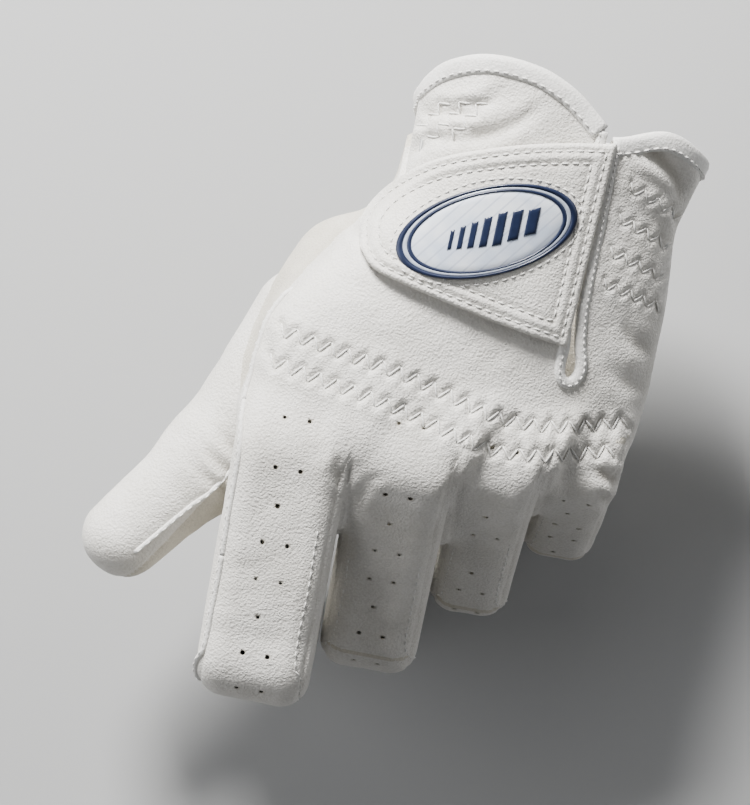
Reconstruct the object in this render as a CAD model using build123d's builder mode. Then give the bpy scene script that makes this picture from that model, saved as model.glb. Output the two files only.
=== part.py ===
"""Left-hand golf glove, shaped as it is worn round a club grip.

Millimetres. The origin is the centre of the wrist opening. +Y points from the wrist to the
fingers, +Z out of the back of the hand and +X to the thumb side. All fingers bend in planes of
constant X, so every finger joint turns about an axis along X, and a positive turn opens the hand.
"""

import math
import os

from build123d import *

os.makedirs("parts", exist_ok=True)

# ---- leather, gaps and bands -------------------------------------------------------------
LEATHER = 1.0  # leather with its lining
GAP = 0.4  # clearance between pieces that turn on each other
SEAM_WALL = 3.0  # how far a finger's side panel wraps onto its back and palm
EDGE_ROUND = 5.0  # rounding of a finger's section
COVER_OVERLAP = 0.02  # a knuckle's cover starts this far off the hand's leather
BIG = 200.0  # larger than the glove, for cutting solids
CRUMB = 4.0  # cubic millimetres: a solid smaller than this is a leftover of a cut

# ---- the hand: sections along Y: (y, centre x, centre z, width, thickness, roll in degrees) ----
HAND_SECTIONS = [
    (-17.0, -1.0, -2.0, 66.0, 44.0, 4.0),
    (0.0, 0.5, -2.5, 61.0, 40.0, 5.0),
    (13.0, 3.0, -3.0, 58.5, 37.0, 6.0),
    (28.0, 7.0, -3.5, 71.0, 35.0, 8.0),
    (44.0, 13.0, -3.5, 83.0, 32.0, 9.5),
    (62.0, 14.0, -4.0, 84.0, 28.0, 10.0),
]
BINDING_WIDTH = 3.6
BINDING_RISE = 0.8

# ---- the slit in the back and the closure tab over it ---------------------------------------
SLIT_X = -7.5  # centre line of the slit
SLIT_WIDTH = 3.0
SLIT_END_Y = 47.0
SLIT_LOOP_RADIUS = 2.6  # the slit opens into a small drop at its end
SLIT_BINDING = 1.8
TAB_LIFT = 1.9  # underside of the tab above the leather
TAB_THICK = 1.3
HOOK_THICK = 0.8
LOOP_THICK = 0.7
BADGE_CENTRE = (12.5, 20.5)
BADGE_HALF = (18.5, 9.0)
BADGE_TURN = 20.0
BADGE_THICK = 0.9
BADGE_RIM = 1.6

# ---- fingers: x, half width, knuckle (y, z), radii at knuckle, middle joint, end joint, tip,
# ---- turn below +Y of each bone in degrees, and bone lengths ---------------------------------
FINGERS = {
    "index": dict(
        x=43.2, half=12.0, knuckle=(71.0, 1.0), radii=(11.5, 10.0, 9.0, 8.2),
        turns=(12.0, 97.0, 145.0), bones=(45.0, 28.0, 20.0),
    ),
    "middle": dict(
        x=20.2, half=10.7, knuckle=(68.5, 0.0), radii=(11.5, 9.8, 9.0, 8.2),
        turns=(38.0, 133.0, 180.0), bones=(47.5, 30.0, 20.0),
    ),
    "ring": dict(
        x=0.1, half=9.1, knuckle=(66.0, -4.0), radii=(11.0, 9.4, 8.6, 7.8),
        turns=(55.0, 155.0, 190.0), bones=(44.0, 27.0, 19.0),
    ),
    "little": dict(
        x=-17.5, half=8.2, knuckle=(62.0, -9.5), radii=(10.0, 8.6, 7.8, 7.2),
        turns=(66.0, 166.0, 192.0), bones=(35.0, 20.0, 16.0),
    ),
}

# ---- thumb: joint centres and radii ----------------------------------------------------------
THUMB_JOINTS = [(46.0, 44.0, -17.0), (60.5, 76.5, -21.0), (77.0, 97.5, -21.0)]
THUMB_RADII = (12.5, 9.6, 7.6)
THUMB_SWING = 12.0  # degrees that the thumb swings outwards


def keep(name, *parts):
    """Names a finished piece, drops crumbs that a cut left behind, and writes its STEP file."""
    solids = [solid for part in parts for solid in part.solids() if solid.volume > CRUMB]
    piece = Compound(children=solids) if len(solids) > 1 else solids[0]
    piece.label = name
    export_step(piece, f"parts/{name}.step")


def hand_form(grow):
    """The hand's outer form, larger by grow all round."""
    with BuildPart() as form:
        for y, centre_x, centre_z, width, thick, roll in HAND_SECTIONS:
            turn = math.radians(roll)
            across = (math.cos(turn), 0, math.sin(turn))
            with BuildSketch(Plane(origin=(centre_x, y, centre_z), x_dir=across, z_dir=(0, 1, 0))):
                RectangleRounded(width + 2 * grow, thick + 2 * grow, thick / 2 - 1.0 + grow)
        loft()
    return form.part


def shell(outside, inside):
    """The layer between two offsets of the hand's form."""
    with BuildPart() as layer:
        add(hand_form(outside))
        add(hand_form(inside), mode=Mode.SUBTRACT)
    return layer.part


def cuff_line(shift):
    """Everything on the hand side of the cuff's edge, seen from above, moved shift along +Y."""
    with BuildPart() as block:
        with BuildSketch(Plane.XY.offset(-BIG / 2)):
            with BuildLine():
                edge = Spline(
                    (-60, -5 + shift), (-31, -5 + shift), (-21, -6 + shift), (SLIT_X, -3.5 + shift),
                    (6, -12 + shift), (18, -13.5 + shift), (29, -6 + shift), (60, 4 + shift),
                )
                Polyline(edge @ 1, (60, BIG), (-60, BIG), edge @ 0)
            make_face()
        extrude(amount=BIG)
    return block.part


def upright(sketch_face):
    """A column standing on a plan outline, tall enough to cut the whole back of the hand."""
    with BuildPart() as column:
        add(sketch_face)
        extrude(amount=BIG / 2)
    return column.part


def slit_column(widen):
    """The slit's plan, from beyond the cuff to the drop at its end, larger by widen."""
    with BuildSketch() as plan:
        length = SLIT_END_Y + 40
        with Locations((SLIT_X, SLIT_END_Y - length / 2)):
            Rectangle(SLIT_WIDTH + 2 * widen, length)
        with Locations((SLIT_X, SLIT_END_Y)):
            Circle(SLIT_LOOP_RADIUS + widen)
    return upright(plan.sketch)


def tab_outline(inset):
    """The tab's plan: a rounded tongue sewn along the little-finger side of the slit."""
    left, root_low, root_high = SLIT_X - 3.0, 0.5, 40.5
    with BuildSketch() as plan:
        with BuildLine():
            root = Line((left + inset, root_low + inset), (left + inset, root_high - inset))
            lower = Spline(
                root @ 1, (10, 38.8 - inset), (30, 34.0 - inset), (37.5 - inset, 27.0),
                tangents=((1, 0.02), (-0.1, -1)),
            )
            upper = Spline(
                lower @ 1, (33.5 - inset, 13.5 + inset), (16, 3.5 + inset), root @ 0,
                tangents=((-0.1, -1), (-1, -0.25)),
            )
        make_face()
    return upright(plan.sketch)


def ellipse_column(half_x, half_y):
    with BuildSketch() as plan:
        with Locations(Location((*BADGE_CENTRE, 0), (0, 0, BADGE_TURN))):
            Ellipse(half_x, half_y)
    return upright(plan.sketch)


# ---- finger geometry ---------------------------------------------------------------------------


def step_along(point, turn, length):
    """A point length further along a bone that dips turn degrees below +Y. Points are (y, z)."""
    angle = math.radians(turn)
    return (point[0] + length * math.cos(angle), point[1] - length * math.sin(angle))


def joint_centres(finger):
    """The finger's knuckle, middle joint, end joint and tip centres, as (y, z)."""
    centres = [finger["knuckle"]]
    for turn, length in zip(finger["turns"], finger["bones"]):
        centres.append(step_along(centres[-1], turn, length))
    return centres


def barrel(finger, centre, radius, grow, round_edges=True):
    """A round joint across the finger."""
    with BuildPart() as drum:
        middle = Plane(origin=(finger["x"], *centre), x_dir=(0, 1, 0), z_dir=(1, 0, 0))
        with BuildSketch(middle):
            Circle(radius + grow)
        extrude(amount=finger["half"] + (grow if round_edges else BIG), both=True)
        if round_edges:
            fillet(drum.edges().filter_by(GeomType.CIRCLE), EDGE_ROUND + grow)
    return drum.part


def bone(finger, start, end, radius_start, radius_end, turn, grow):
    """A tapered sleeve form between two joints."""
    angle = math.radians(turn)
    along = (0, math.cos(angle), -math.sin(angle))
    with BuildPart() as form:
        for centre, radius in ((start, radius_start), (end, radius_end)):
            with BuildSketch(Plane(origin=(finger["x"], *centre), x_dir=(1, 0, 0), z_dir=along)):
                width = 2 * (finger["half"] + grow)
                RectangleRounded(width, 2 * (radius + grow), EDGE_ROUND + grow)
        loft()
    return form.part


def finger_base(finger, grow):
    """The finger's first bone from the knuckle, with the round middle joint."""
    centres, radii = joint_centres(finger), finger["radii"]
    turn = finger["turns"][0]
    with BuildPart() as form:
        add(bone(finger, centres[0], centres[1], radii[0] - 0.8, radii[1], turn, grow))
        add(barrel(finger, centres[1], radii[1], grow))
    return form.part


def finger_end(finger, grow):
    """The finger's last two bones and its round tip."""
    centres, radii, turns = joint_centres(finger), finger["radii"], finger["turns"]
    with BuildPart() as form:
        add(bone(finger, centres[1], centres[2], radii[1] - 0.6, radii[2], turns[1], grow))
        add(barrel(finger, centres[2], radii[2], grow))
        add(bone(finger, centres[2], centres[3], radii[2], radii[3], turns[2], grow))
        add(barrel(finger, centres[3], radii[3], grow))
    return form.part


def half_space(origin, normal):
    """A large block on the side of a plane that its normal points to."""
    with BuildPart() as block:
        with BuildSketch(Plane(origin=origin, z_dir=normal)):
            Rectangle(BIG, BIG)
        extrude(amount=BIG)
    return block.part


def bend_plane(finger, joint):
    """Origin and normal of the plane that halves the bend at a joint, pointing to the tip."""
    centres, turns = joint_centres(finger), finger["turns"]
    middle = math.radians((turns[joint - 1] + turns[joint]) / 2)
    return (finger["x"], *centres[joint]), (0, math.cos(middle), -math.sin(middle))


def back_region(finger, joint):
    """The back half of the two bones that meet at a joint, on both sides of the bend."""
    centre, onward = bend_plane(finger, joint)
    back_again = tuple(-n for n in onward)
    halves = []
    for turn, side in ((finger["turns"][joint - 1], back_again), (finger["turns"][joint], onward)):
        dip = math.radians(turn)
        halves.append(half_space(centre, (0, math.sin(dip), math.cos(dip))) & half_space(centre, side))
    return halves[0] + halves[1]


def split_panels(name, sleeve, finger, joint):
    """Cuts a finger sleeve into its back, its palm and its two side panels, and keeps each."""
    core_half = finger["half"] - SEAM_WALL
    with BuildPart() as core:
        with BuildSketch(Plane(origin=(finger["x"], 0, 0), x_dir=(0, 1, 0), z_dir=(1, 0, 0))):
            Rectangle(2 * BIG, 2 * BIG)
        extrude(amount=core_half, both=True)
    back_side = back_region(finger, joint)
    keep(f"{name}_back", sleeve & core.part & back_side)
    keep(f"{name}_palm", (sleeve & core.part) - back_side)
    keep(f"{name}_sides", sleeve - core.part)


def make_finger(name, finger):
    """The sleeves of one finger, as two bodies that meet at the middle joint."""
    centres, radii, turns = joint_centres(finger), finger["radii"], finger["turns"]
    bend, onward = bend_plane(finger, 1)
    inward, back_again = (0, onward[2], -onward[1]), tuple(-n for n in onward)
    before = tuple(b - n * GAP / 2 for b, n in zip(bend, onward))
    after = tuple(b + n * GAP / 2 for b, n in zip(bend, onward))

    with BuildPart() as base:  # its round end covers the bent joint
        add(finger_base(finger, 0))
        add(finger_base(finger, -LEATHER), mode=Mode.SUBTRACT)
        passage = bone(finger, centres[1], centres[2], radii[1] - 0.6, radii[2], turns[1], -LEATHER)
        add(passage, mode=Mode.SUBTRACT)
        add(half_space(before, onward) & half_space(bend, inward), mode=Mode.SUBTRACT)
        add(barrel(finger, centres[0], radii[0], GAP, round_edges=False), mode=Mode.SUBTRACT)
    split_panels(f"{name}_base", base.part, finger, 1)

    with BuildPart() as end:
        add(finger_end(finger, 0))
        add(finger_end(finger, -LEATHER), mode=Mode.SUBTRACT)
        add(barrel(finger, centres[1], radii[1], GAP, round_edges=False), mode=Mode.SUBTRACT)
        add(half_space(after, back_again), mode=Mode.SUBTRACT)
    split_panels(f"{name}_end", end.part, finger, 2)


# ---- thumb ---------------------------------------------------------------------------------------


def thumb_form(grow):
    """Two tapered sleeves with round joints."""
    with BuildPart() as form:
        for point, radius in zip(THUMB_JOINTS, THUMB_RADII):
            with Locations(point):
                Sphere(radius + grow)
        pairs = zip(THUMB_JOINTS, THUMB_JOINTS[1:], THUMB_RADII, THUMB_RADII[1:])
        for start, end, radius_start, radius_end in pairs:
            along = (Vector(*end) - Vector(*start)).normalized()
            for point, radius in ((start, radius_start), (end, radius_end)):
                with BuildSketch(Plane(origin=point, z_dir=along)):
                    Circle(radius + grow)
            loft()
    return form.part


def thumb_sweep(grow):
    """The space that the thumb takes over its whole swing."""
    form = thumb_form(grow)
    swing = Axis(THUMB_JOINTS[0], (0, 0, -1))
    return form + form.rotate(swing, THUMB_SWING / 2) + form.rotate(swing, THUMB_SWING)


def make_thumb():
    """The thumb, sewn from an outer piece and a palm-side piece along its length."""
    root, mid = Vector(*THUMB_JOINTS[0]), Vector(*THUMB_JOINTS[1])
    along = (mid - root).normalized()
    with BuildPart() as sleeve:
        add(thumb_form(0))
        add(thumb_form(-LEATHER), mode=Mode.SUBTRACT)
    mouth = half_space(tuple(root + along * 3.0), tuple(along))
    cut = sleeve.part & mouth
    side = half_space(tuple(mid), (0.55, -0.48, 0.68))
    keep("thumb_outer", cut & side)
    keep("thumb_palm", cut - side)


# ---- the hand's panels and what is sewn on them --------------------------------------------------


def main():
    thumb_room = thumb_sweep(GAP + 0.2)
    knuckle_drums, finger_rooms = [], []
    for finger in FINGERS.values():
        knuckle_drums.append(barrel(finger, joint_centres(finger)[0], finger["radii"][0], 0))
        finger_rooms.append(bone_room(finger))

    panel_line = cuff_line(BINDING_WIDTH)
    leather = shell(0, -LEATHER) & panel_line
    upper = half_space((14.0, 30.0, -4.0), (-0.165, 0, 0.986))
    back = leather & upper
    back = back - slit_column(SLIT_BINDING)
    palm = (leather - upper) - thumb_room
    covers = []
    for finger, drum, room in zip(FINGERS.values(), knuckle_drums, finger_rooms):
        knuckle = joint_centres(finger)[0]
        with BuildPart() as cap:
            add(drum)
            add(barrel(finger, knuckle, finger["radii"][0], -LEATHER), mode=Mode.SUBTRACT)
        bend = math.radians(finger["turns"][0])
        behind = half_space((finger["x"], *knuckle), (0, math.sin(bend) * 0.6, 1.0))
        covers.append((cap.part & behind) - hand_form(COVER_OVERLAP))
        palm = palm - room - half_space((finger["x"], *knuckle), (0, 1, 0))
    keep("back_panel", back, *covers)
    keep("palm_panel", palm)

    binding = (shell(BINDING_RISE, -LEATHER - BINDING_RISE) & cuff_line(0)) - cuff_line(BINDING_WIDTH)
    keep("cuff_binding", binding - slit_column(SLIT_BINDING))

    slit_ring = slit_column(SLIT_BINDING) - slit_column(0)
    slit_edge = shell(BINDING_RISE, -LEATHER - BINDING_RISE) & slit_ring & cuff_line(0)
    keep("slit_binding", slit_edge)

    right_of_slit = half_space((SLIT_X + SLIT_WIDTH / 2 + SLIT_BINDING + 0.6, 0, 0), (1, 0, 0))
    patch = shell(LOOP_THICK, 0) & tab_outline(4.0) & right_of_slit
    keep("loop_patch", patch)
    hook = shell(TAB_LIFT, TAB_LIFT - HOOK_THICK) & tab_outline(5.0) & right_of_slit
    keep("hook_patch", hook)
    tab = shell(TAB_LIFT + TAB_THICK, TAB_LIFT) & tab_outline(0)
    keep("closure_tab", tab)
    top = TAB_LIFT + TAB_THICK
    half_x, half_y = BADGE_HALF
    face = ellipse_column(half_x - BADGE_RIM, half_y - BADGE_RIM)
    keep("badge_face", shell(top + BADGE_THICK * 0.7, top) & face)
    keep("badge_rim", (shell(top + BADGE_THICK, top) & ellipse_column(half_x, half_y)) - face)

    inside = shell(-LEATHER - 0.2, -LEATHER - 0.9) & upper
    with BuildPart() as strips:
        with BuildSketch(Plane.XY.offset(-10)):
            with Locations((-20.5, 16)):
                Rectangle(11, 14)
            with Locations((24, 3)):
                Rectangle(20, 8)
        extrude(amount=60)
    keep("wrist_elastic", inside & strips.part)
    with BuildPart() as knuckle_strip:
        with BuildSketch(Plane.XY.offset(-10)):
            with Locations((13, 54)):
                Rectangle(74, 7)
        extrude(amount=60)
    keep("knuckle_elastic", (inside & knuckle_strip.part) - slit_column(SLIT_BINDING + 0.3))

    for name, finger in FINGERS.items():
        make_finger(name, finger)
    make_thumb()


def bone_room(finger):
    """The space that the finger's first bone takes beside the hand, with clearance."""
    centres, radii = joint_centres(finger), finger["radii"]
    with BuildPart() as room:
        add(bone(finger, centres[0], centres[1], radii[0], radii[1], finger["turns"][0], GAP))
    return room.part


main()
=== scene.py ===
import math

import bpy
import numpy as np
from mathutils import Matrix, Vector
from mathutils.bvhtree import BVHTree


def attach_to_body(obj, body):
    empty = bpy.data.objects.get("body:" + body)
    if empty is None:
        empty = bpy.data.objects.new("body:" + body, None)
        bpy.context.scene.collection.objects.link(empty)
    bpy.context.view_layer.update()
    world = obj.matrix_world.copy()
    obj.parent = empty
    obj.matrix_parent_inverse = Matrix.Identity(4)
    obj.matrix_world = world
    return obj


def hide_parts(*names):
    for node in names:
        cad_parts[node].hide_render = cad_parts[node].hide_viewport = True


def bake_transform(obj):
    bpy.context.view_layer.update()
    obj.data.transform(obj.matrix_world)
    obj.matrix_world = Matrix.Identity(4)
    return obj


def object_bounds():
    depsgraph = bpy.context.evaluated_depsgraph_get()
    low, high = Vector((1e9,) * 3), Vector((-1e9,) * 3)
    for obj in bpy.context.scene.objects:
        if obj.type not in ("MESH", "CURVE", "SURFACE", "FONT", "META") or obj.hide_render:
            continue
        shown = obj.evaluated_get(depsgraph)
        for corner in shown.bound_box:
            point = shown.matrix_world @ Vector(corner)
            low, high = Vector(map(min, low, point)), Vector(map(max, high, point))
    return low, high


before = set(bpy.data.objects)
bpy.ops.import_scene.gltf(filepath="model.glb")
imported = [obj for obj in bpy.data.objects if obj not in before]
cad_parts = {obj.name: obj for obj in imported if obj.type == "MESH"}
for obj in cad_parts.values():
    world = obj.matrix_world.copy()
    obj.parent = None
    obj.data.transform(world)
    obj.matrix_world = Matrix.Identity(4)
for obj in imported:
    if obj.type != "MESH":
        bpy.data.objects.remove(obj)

MM = 0.001  # shapes are worked out in millimetres and made in metres
VOXEL = 0.75  # size of the skin's quads
LEATHER = 0.8  # thickness of the leather

# ---- the hand, its fingers and its thumb ---------------------------------------------------------
# the joints lie on the CAD part's hinge lines; widths, radii and the thumb's tip differ a little from it
# sections of the hand: y, centre x, centre z, width, thickness, roll in degrees
HAND_SECTIONS = np.array([
    (-20.0, -1.2, -1.8, 67.5, 45.0, 4.0),
    (0.0, 0.5, -2.5, 62.0, 40.5, 5.0),
    (13.0, 3.0, -3.0, 59.0, 37.0, 6.0),
    (28.0, 7.0, -3.5, 71.0, 34.5, 8.0),
    (44.0, 13.0, -3.5, 83.0, 31.5, 9.5),
    (62.0, 14.0, -4.0, 84.0, 28.0, 10.0),
    (80.0, 14.0, -5.0, 84.0, 25.0, 10.0),
])
FINGERS = {
    "index": dict(x=43.3, half=12.2, knuckle=(71.0, 1.0), radii=(11.7, 10.0, 9.0, 8.0),
                  turns=(12.0, 97.0, 145.0), bones=(45.0, 28.0, 20.0)),
    "middle": dict(x=20.1, half=10.75, knuckle=(68.5, 0.0), radii=(11.7, 9.9, 9.0, 8.0),
                   turns=(38.0, 133.0, 180.0), bones=(47.5, 30.0, 20.0)),
    "ring": dict(x=0.2, half=8.9, knuckle=(66.0, -4.0), radii=(11.2, 9.4, 8.6, 7.7),
                 turns=(55.0, 155.0, 190.0), bones=(44.0, 27.0, 19.0)),
    "little": dict(x=-17.2, half=8.05, knuckle=(62.0, -9.5), radii=(10.2, 8.6, 7.8, 7.0),
                   turns=(66.0, 166.0, 192.0), bones=(35.0, 20.0, 16.0)),
}
GAP_PLANES = (30.98, 9.2, -8.93)  # x between neighbouring fingers
THUMB = (np.array((46.0, 44.0, -17.0)), np.array((60.5, 76.5, -21.0)), np.array((76.4, 96.8, -21.0)))
THUMB_RADII = (11.6, 10.1, 9.0)
MOUND_RADIUS = 11.2
WEB_LENGTHS = (9.0, 15.0, 10.0)  # from the knuckles to the webs' ends, along the fingers
WEB_DIP = 1.2
SIDE_CLEAR = 0.22  # from each finger's side to the plane between it and its neighbour


def smoothstep(low, high, value):
    t = np.clip((value - low) / (high - low), 0, 1)
    return t * t * (3 - 2 * t)


def smooth_min(a, b, reach):
    """The lower of two distances, rounded where they are within reach of each other."""
    h = np.clip(reach - np.abs(a - b), 0, None) / reach
    return np.minimum(a, b) - h * h * reach / 4


def smooth_max(a, b, reach):
    return -smooth_min(-a, -b, reach)


def step_along(point, turn, length):
    """A point further along a bone that dips turn degrees below +Y. Points are (y, z)."""
    angle = math.radians(turn)
    return (point[0] + length * math.cos(angle), point[1] - length * math.sin(angle))


def joint_centres(finger):
    """Knuckle, middle joint, end joint and tip, as (y, z)."""
    centres = [finger["knuckle"]]
    for turn, length in zip(finger["turns"], finger["bones"]):
        centres.append(step_along(centres[-1], turn, length))
    return centres


def chain(finger, points):
    """Distance from each point to the finger's bones in their plane, less the radius there, and the
    place of the nearest spot along the chain: 0 at the knuckle, 1 at the middle joint and so on."""
    centres, radii = joint_centres(finger), finger["radii"]
    yz = points[:, 1:3]
    best, place = np.full(len(points), 1e3), np.zeros(len(points))
    for number in range(3):
        a, b = np.array(centres[number]), np.array(centres[number + 1])
        t = np.clip((yz - a) @ (b - a) / ((b - a) @ (b - a)), 0, 1)
        radius = radii[number] + (radii[number + 1] - radii[number]) * t
        away = np.linalg.norm(yz - a - t[:, None] * (b - a), axis=1) - radius
        place = np.where(away < best, number + t, place)
        best = smooth_min(best, away, 2.5)
    return best, place


def finger_field(finger, points):
    """Signed distance to a finger: its bones in their plane, given width with rounded edges."""
    away, place = chain(finger, points)
    tip = smoothstep(2.2, 3.0, place)
    half = finger["half"] * (1 - 0.12 * tip) + 0.35 * np.exp(-((place - 1) / 0.22) ** 2)
    half = np.minimum(half, min(abs(plane - finger["x"]) for plane in GAP_PLANES) - SIDE_CLEAR)
    edge = finger["radii"][1] * (0.62 + 0.22 * tip)
    u = np.abs(points[:, 0] - finger["x"]) - (half - edge)
    v = away + edge
    outside = np.hypot(np.clip(u, 0, None), np.clip(v, 0, None))
    return outside + np.minimum(np.maximum(u, v), 0) - edge


def section_at(y):
    """The hand's section at each y, smoothly between the given ones."""
    stations = HAND_SECTIONS[:, 0]
    grid = np.linspace(stations[0], stations[-1], 101)
    result = []
    for column in range(1, 6):
        values = np.interp(grid, stations, HAND_SECTIONS[:, column])
        kernel = np.hanning(15)
        padded = np.pad(values, 7, mode="edge")
        result.append(np.interp(y, grid, np.convolve(padded, kernel / kernel.sum(), "valid")))
    return result


def hand_field(points):
    """Signed distance to the hand without its fingers, rounded off at the knuckles."""
    centre_x, centre_z, width, thick, roll = section_at(points[:, 1])
    roll = np.radians(roll)
    dx, dz = points[:, 0] - centre_x, points[:, 2] - centre_z
    u = np.abs(dx * np.cos(roll) + dz * np.sin(roll)) + 1e-6
    v = np.abs(-dx * np.sin(roll) + dz * np.cos(roll)) + 1e-6
    a, b, power = width / 2, thick / 2, 2.55
    total = (u / a) ** power + (v / b) ** power
    value = total ** (1 / power) - 1
    scale = total ** (1 / power - 1)
    slope = np.hypot(scale * u ** (power - 1) / a ** power, scale * v ** (power - 1) / b ** power)
    side = value / np.maximum(slope, 1e-3)
    side = np.maximum(side, -b)
    knuckle_line = np.interp(points[:, 0], (-26, -17.5, 0, 20, 43, 56), (58, 60, 64, 66.5, 69, 66))
    return smooth_max(side, points[:, 1] - knuckle_line, 12.0)


def capsule(points, start, end, radius_start, radius_end):
    t = np.clip((points - start) @ (end - start) / ((end - start) @ (end - start)), 0, 1)
    radius = radius_start + (radius_end - radius_start) * t
    return np.linalg.norm(points - start - t[:, None] * (end - start), axis=1) - radius


def thumb_field(points):
    first = capsule(points, THUMB[0], THUMB[1], THUMB_RADII[0], THUMB_RADII[1])
    last = capsule(points, THUMB[1], THUMB[2], THUMB_RADII[1], THUMB_RADII[2])
    return smooth_min(first, last, 5.0)


def web_field(points):
    """The leather between neighbouring fingers, as far as their crotches."""
    result = np.full(len(points), 1e3)
    names = list(FINGERS)
    for plane, near, far, length in zip(GAP_PLANES, names, names[1:], WEB_LENGTHS):
        pair = FINGERS[near], FINGERS[far]
        turn = sum(f["turns"][0] for f in pair) / 2
        start = tuple(sum(f["knuckle"][i] for f in pair) / 2 for i in (0, 1))
        radius = min(f["radii"][0] for f in pair) - WEB_DIP
        start = step_along(start, turn, -4.0)
        end = step_along(start, turn, length + 4.0)
        a, b = np.array(start), np.array(end)
        yz = points[:, 1:3]
        t = np.clip((yz - a) @ (b - a) / ((b - a) @ (b - a)), 0, 1)
        away = np.linalg.norm(yz - a - t[:, None] * (b - a), axis=1) - radius * (1 - 0.25 * t)
        across = np.abs(points[:, 0] - plane) - 3.0
        result = np.minimum(result, smooth_max(away, across, 3.0))
    return result


def glove_field(points):
    """The hand with its fingers, their webs and the mound that the thumb grows out of."""
    fingers = np.full(len(points), 1e3)
    for finger in FINGERS.values():
        fingers = np.minimum(fingers, finger_field(finger, points))
    fingers = smooth_min(fingers, web_field(points), 3.5)
    reach = THUMB[0] + 0.45 * (THUMB[1] - THUMB[0])
    mound = capsule(points, THUMB[0] - np.array((6, 12, -3)), reach, MOUND_RADIUS, THUMB_RADII[0] - 2.0)
    hand = smooth_min(hand_field(points), mound, 12.0)
    return smooth_min(hand, fingers, 7.0)


# ---- a skin of quads on a field ------------------------------------------------------------------
STRETCH = 4.0  # gaps between fingers are this much wider while the skin is made
STRETCH_HALF = 0.8


def unstretch(x):
    """Takes the places in x back from the stretched space in which narrow finger gaps are wide."""
    real = [-60.0]
    for plane in sorted(GAP_PLANES):
        real += [plane - STRETCH_HALF, plane + STRETCH_HALF]
    real.append(110.0)
    slopes = [STRETCH if number % 2 else 1.0 for number in range(len(real) - 1)]
    wide = np.concatenate([[real[0]], real[0] + np.cumsum(np.diff(real) * slopes)])
    return np.interp(x, wide, real)


def skin(field, low, high, voxel, warp=lambda x: x):
    """Vertices and quads of the surface where field is zero, by surface nets on a grid."""
    axes = [np.arange(a, b + voxel, voxel) for a, b in zip(low, high)]
    shape = tuple(len(a) for a in axes)
    values = np.empty(shape, np.float32)
    yy, zz = np.meshgrid(axes[1], axes[2], indexing="ij")
    rest = np.stack([np.zeros(yy.size), yy.ravel(), zz.ravel()], axis=1)
    for number, x in enumerate(warp(axes[0])):
        rest[:, 0] = x
        values[number] = field(rest).reshape(shape[1:])
    inside = values < 0
    cells = tuple(n - 1 for n in shape)
    total, count = np.zeros(cells + (3,), np.float32), np.zeros(cells, np.int32)
    quads = []
    for axis in range(3):
        near = [slice(None)] * 3
        far = [slice(None)] * 3
        near[axis], far[axis] = slice(0, -1), slice(1, None)
        crossing = inside[tuple(near)] != inside[tuple(far)]
        where = np.argwhere(crossing)
        a = values[tuple(near)][crossing]
        b = values[tuple(far)][crossing]
        point = where.astype(np.float32)
        point[:, axis] += a / (a - b)
        others = [i for i in range(3) if i != axis]
        ok = np.ones(len(where), bool)
        for i in others:
            ok &= (where[:, i] > 0) & (where[:, i] < shape[i] - 1)
        where, point, starts_inside = where[ok], point[ok], (a < 0)[ok]
        corners = []
        for p, q in ((-1, -1), (0, -1), (0, 0), (-1, 0)):
            cell = where.copy()
            cell[:, others[0]] += p
            cell[:, others[1]] += q
            np.add.at(total, tuple(cell.T), point)
            np.add.at(count, tuple(cell.T), 1)
            corners.append(np.ravel_multi_index(tuple(cell.T), cells))
        quad = np.stack(corners, axis=1)
        flip = starts_inside if axis == 1 else ~starts_inside
        quad[flip] = quad[flip][:, ::-1]
        quads.append(quad)
    quads = np.concatenate(quads)
    used = np.flatnonzero(count.ravel())
    renumber = np.full(count.size, -1)
    renumber[used] = np.arange(len(used))
    vertices = total.reshape(-1, 3)[used] / count.ravel()[used][:, None]
    vertices = vertices * voxel + np.array([a[0] for a in axes])
    vertices[:, 0] = warp(vertices[:, 0])
    return vertices.astype(float), renumber[quads]


def gradient(field, points):
    step = 0.05
    result = np.empty_like(points)
    for axis in range(3):
        offset = np.zeros(3)
        offset[axis] = step
        result[:, axis] = field(points + offset) - field(points - offset)
    return result / (2 * step)


def settle(field, vertices, quads, rounds=4):
    """Evens out the quads and moves their corners onto the field's surface."""
    edges = np.concatenate([quads[:, [0, 1]], quads[:, [1, 2]], quads[:, [2, 3]], quads[:, [3, 0]]])
    for _ in range(rounds):
        total, count = np.zeros_like(vertices), np.zeros(len(vertices))
        np.add.at(total, edges[:, 0], vertices[edges[:, 1]])
        np.add.at(count, edges[:, 0], 1)
        np.add.at(total, edges[:, 1], vertices[edges[:, 0]])
        np.add.at(count, edges[:, 1], 1)
        vertices = 0.5 * vertices + 0.5 * total / count[:, None]
        slope = gradient(field, vertices)
        size = (slope ** 2).sum(axis=1)
        move = (field(vertices) / np.maximum(size, 0.2))[:, None] * slope
        length = np.linalg.norm(move, axis=1, keepdims=True)
        vertices = vertices - move * np.minimum(1, 0.6 / np.maximum(length, 1e-9))
    return vertices


# ---- detail pressed into the skin ----------------------------------------------------------------
def value_noise(points, size, seed):
    """Smooth noise from -1 to 1 with features of about that size."""
    table = np.random.default_rng(seed).uniform(-1, 1, (32, 32, 32))
    place = points / size + 1000
    cell = np.floor(place).astype(int)
    part = place - cell
    part = part * part * (3 - 2 * part)
    total = np.zeros(len(points))
    for corner in range(8):
        bits = np.array([corner >> axis & 1 for axis in range(3)])
        weight = np.prod(np.where(bits, part, 1 - part), axis=1)
        index = (cell + bits) % 32
        total += weight * table[index[:, 0], index[:, 1], index[:, 2]]
    return total


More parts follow.
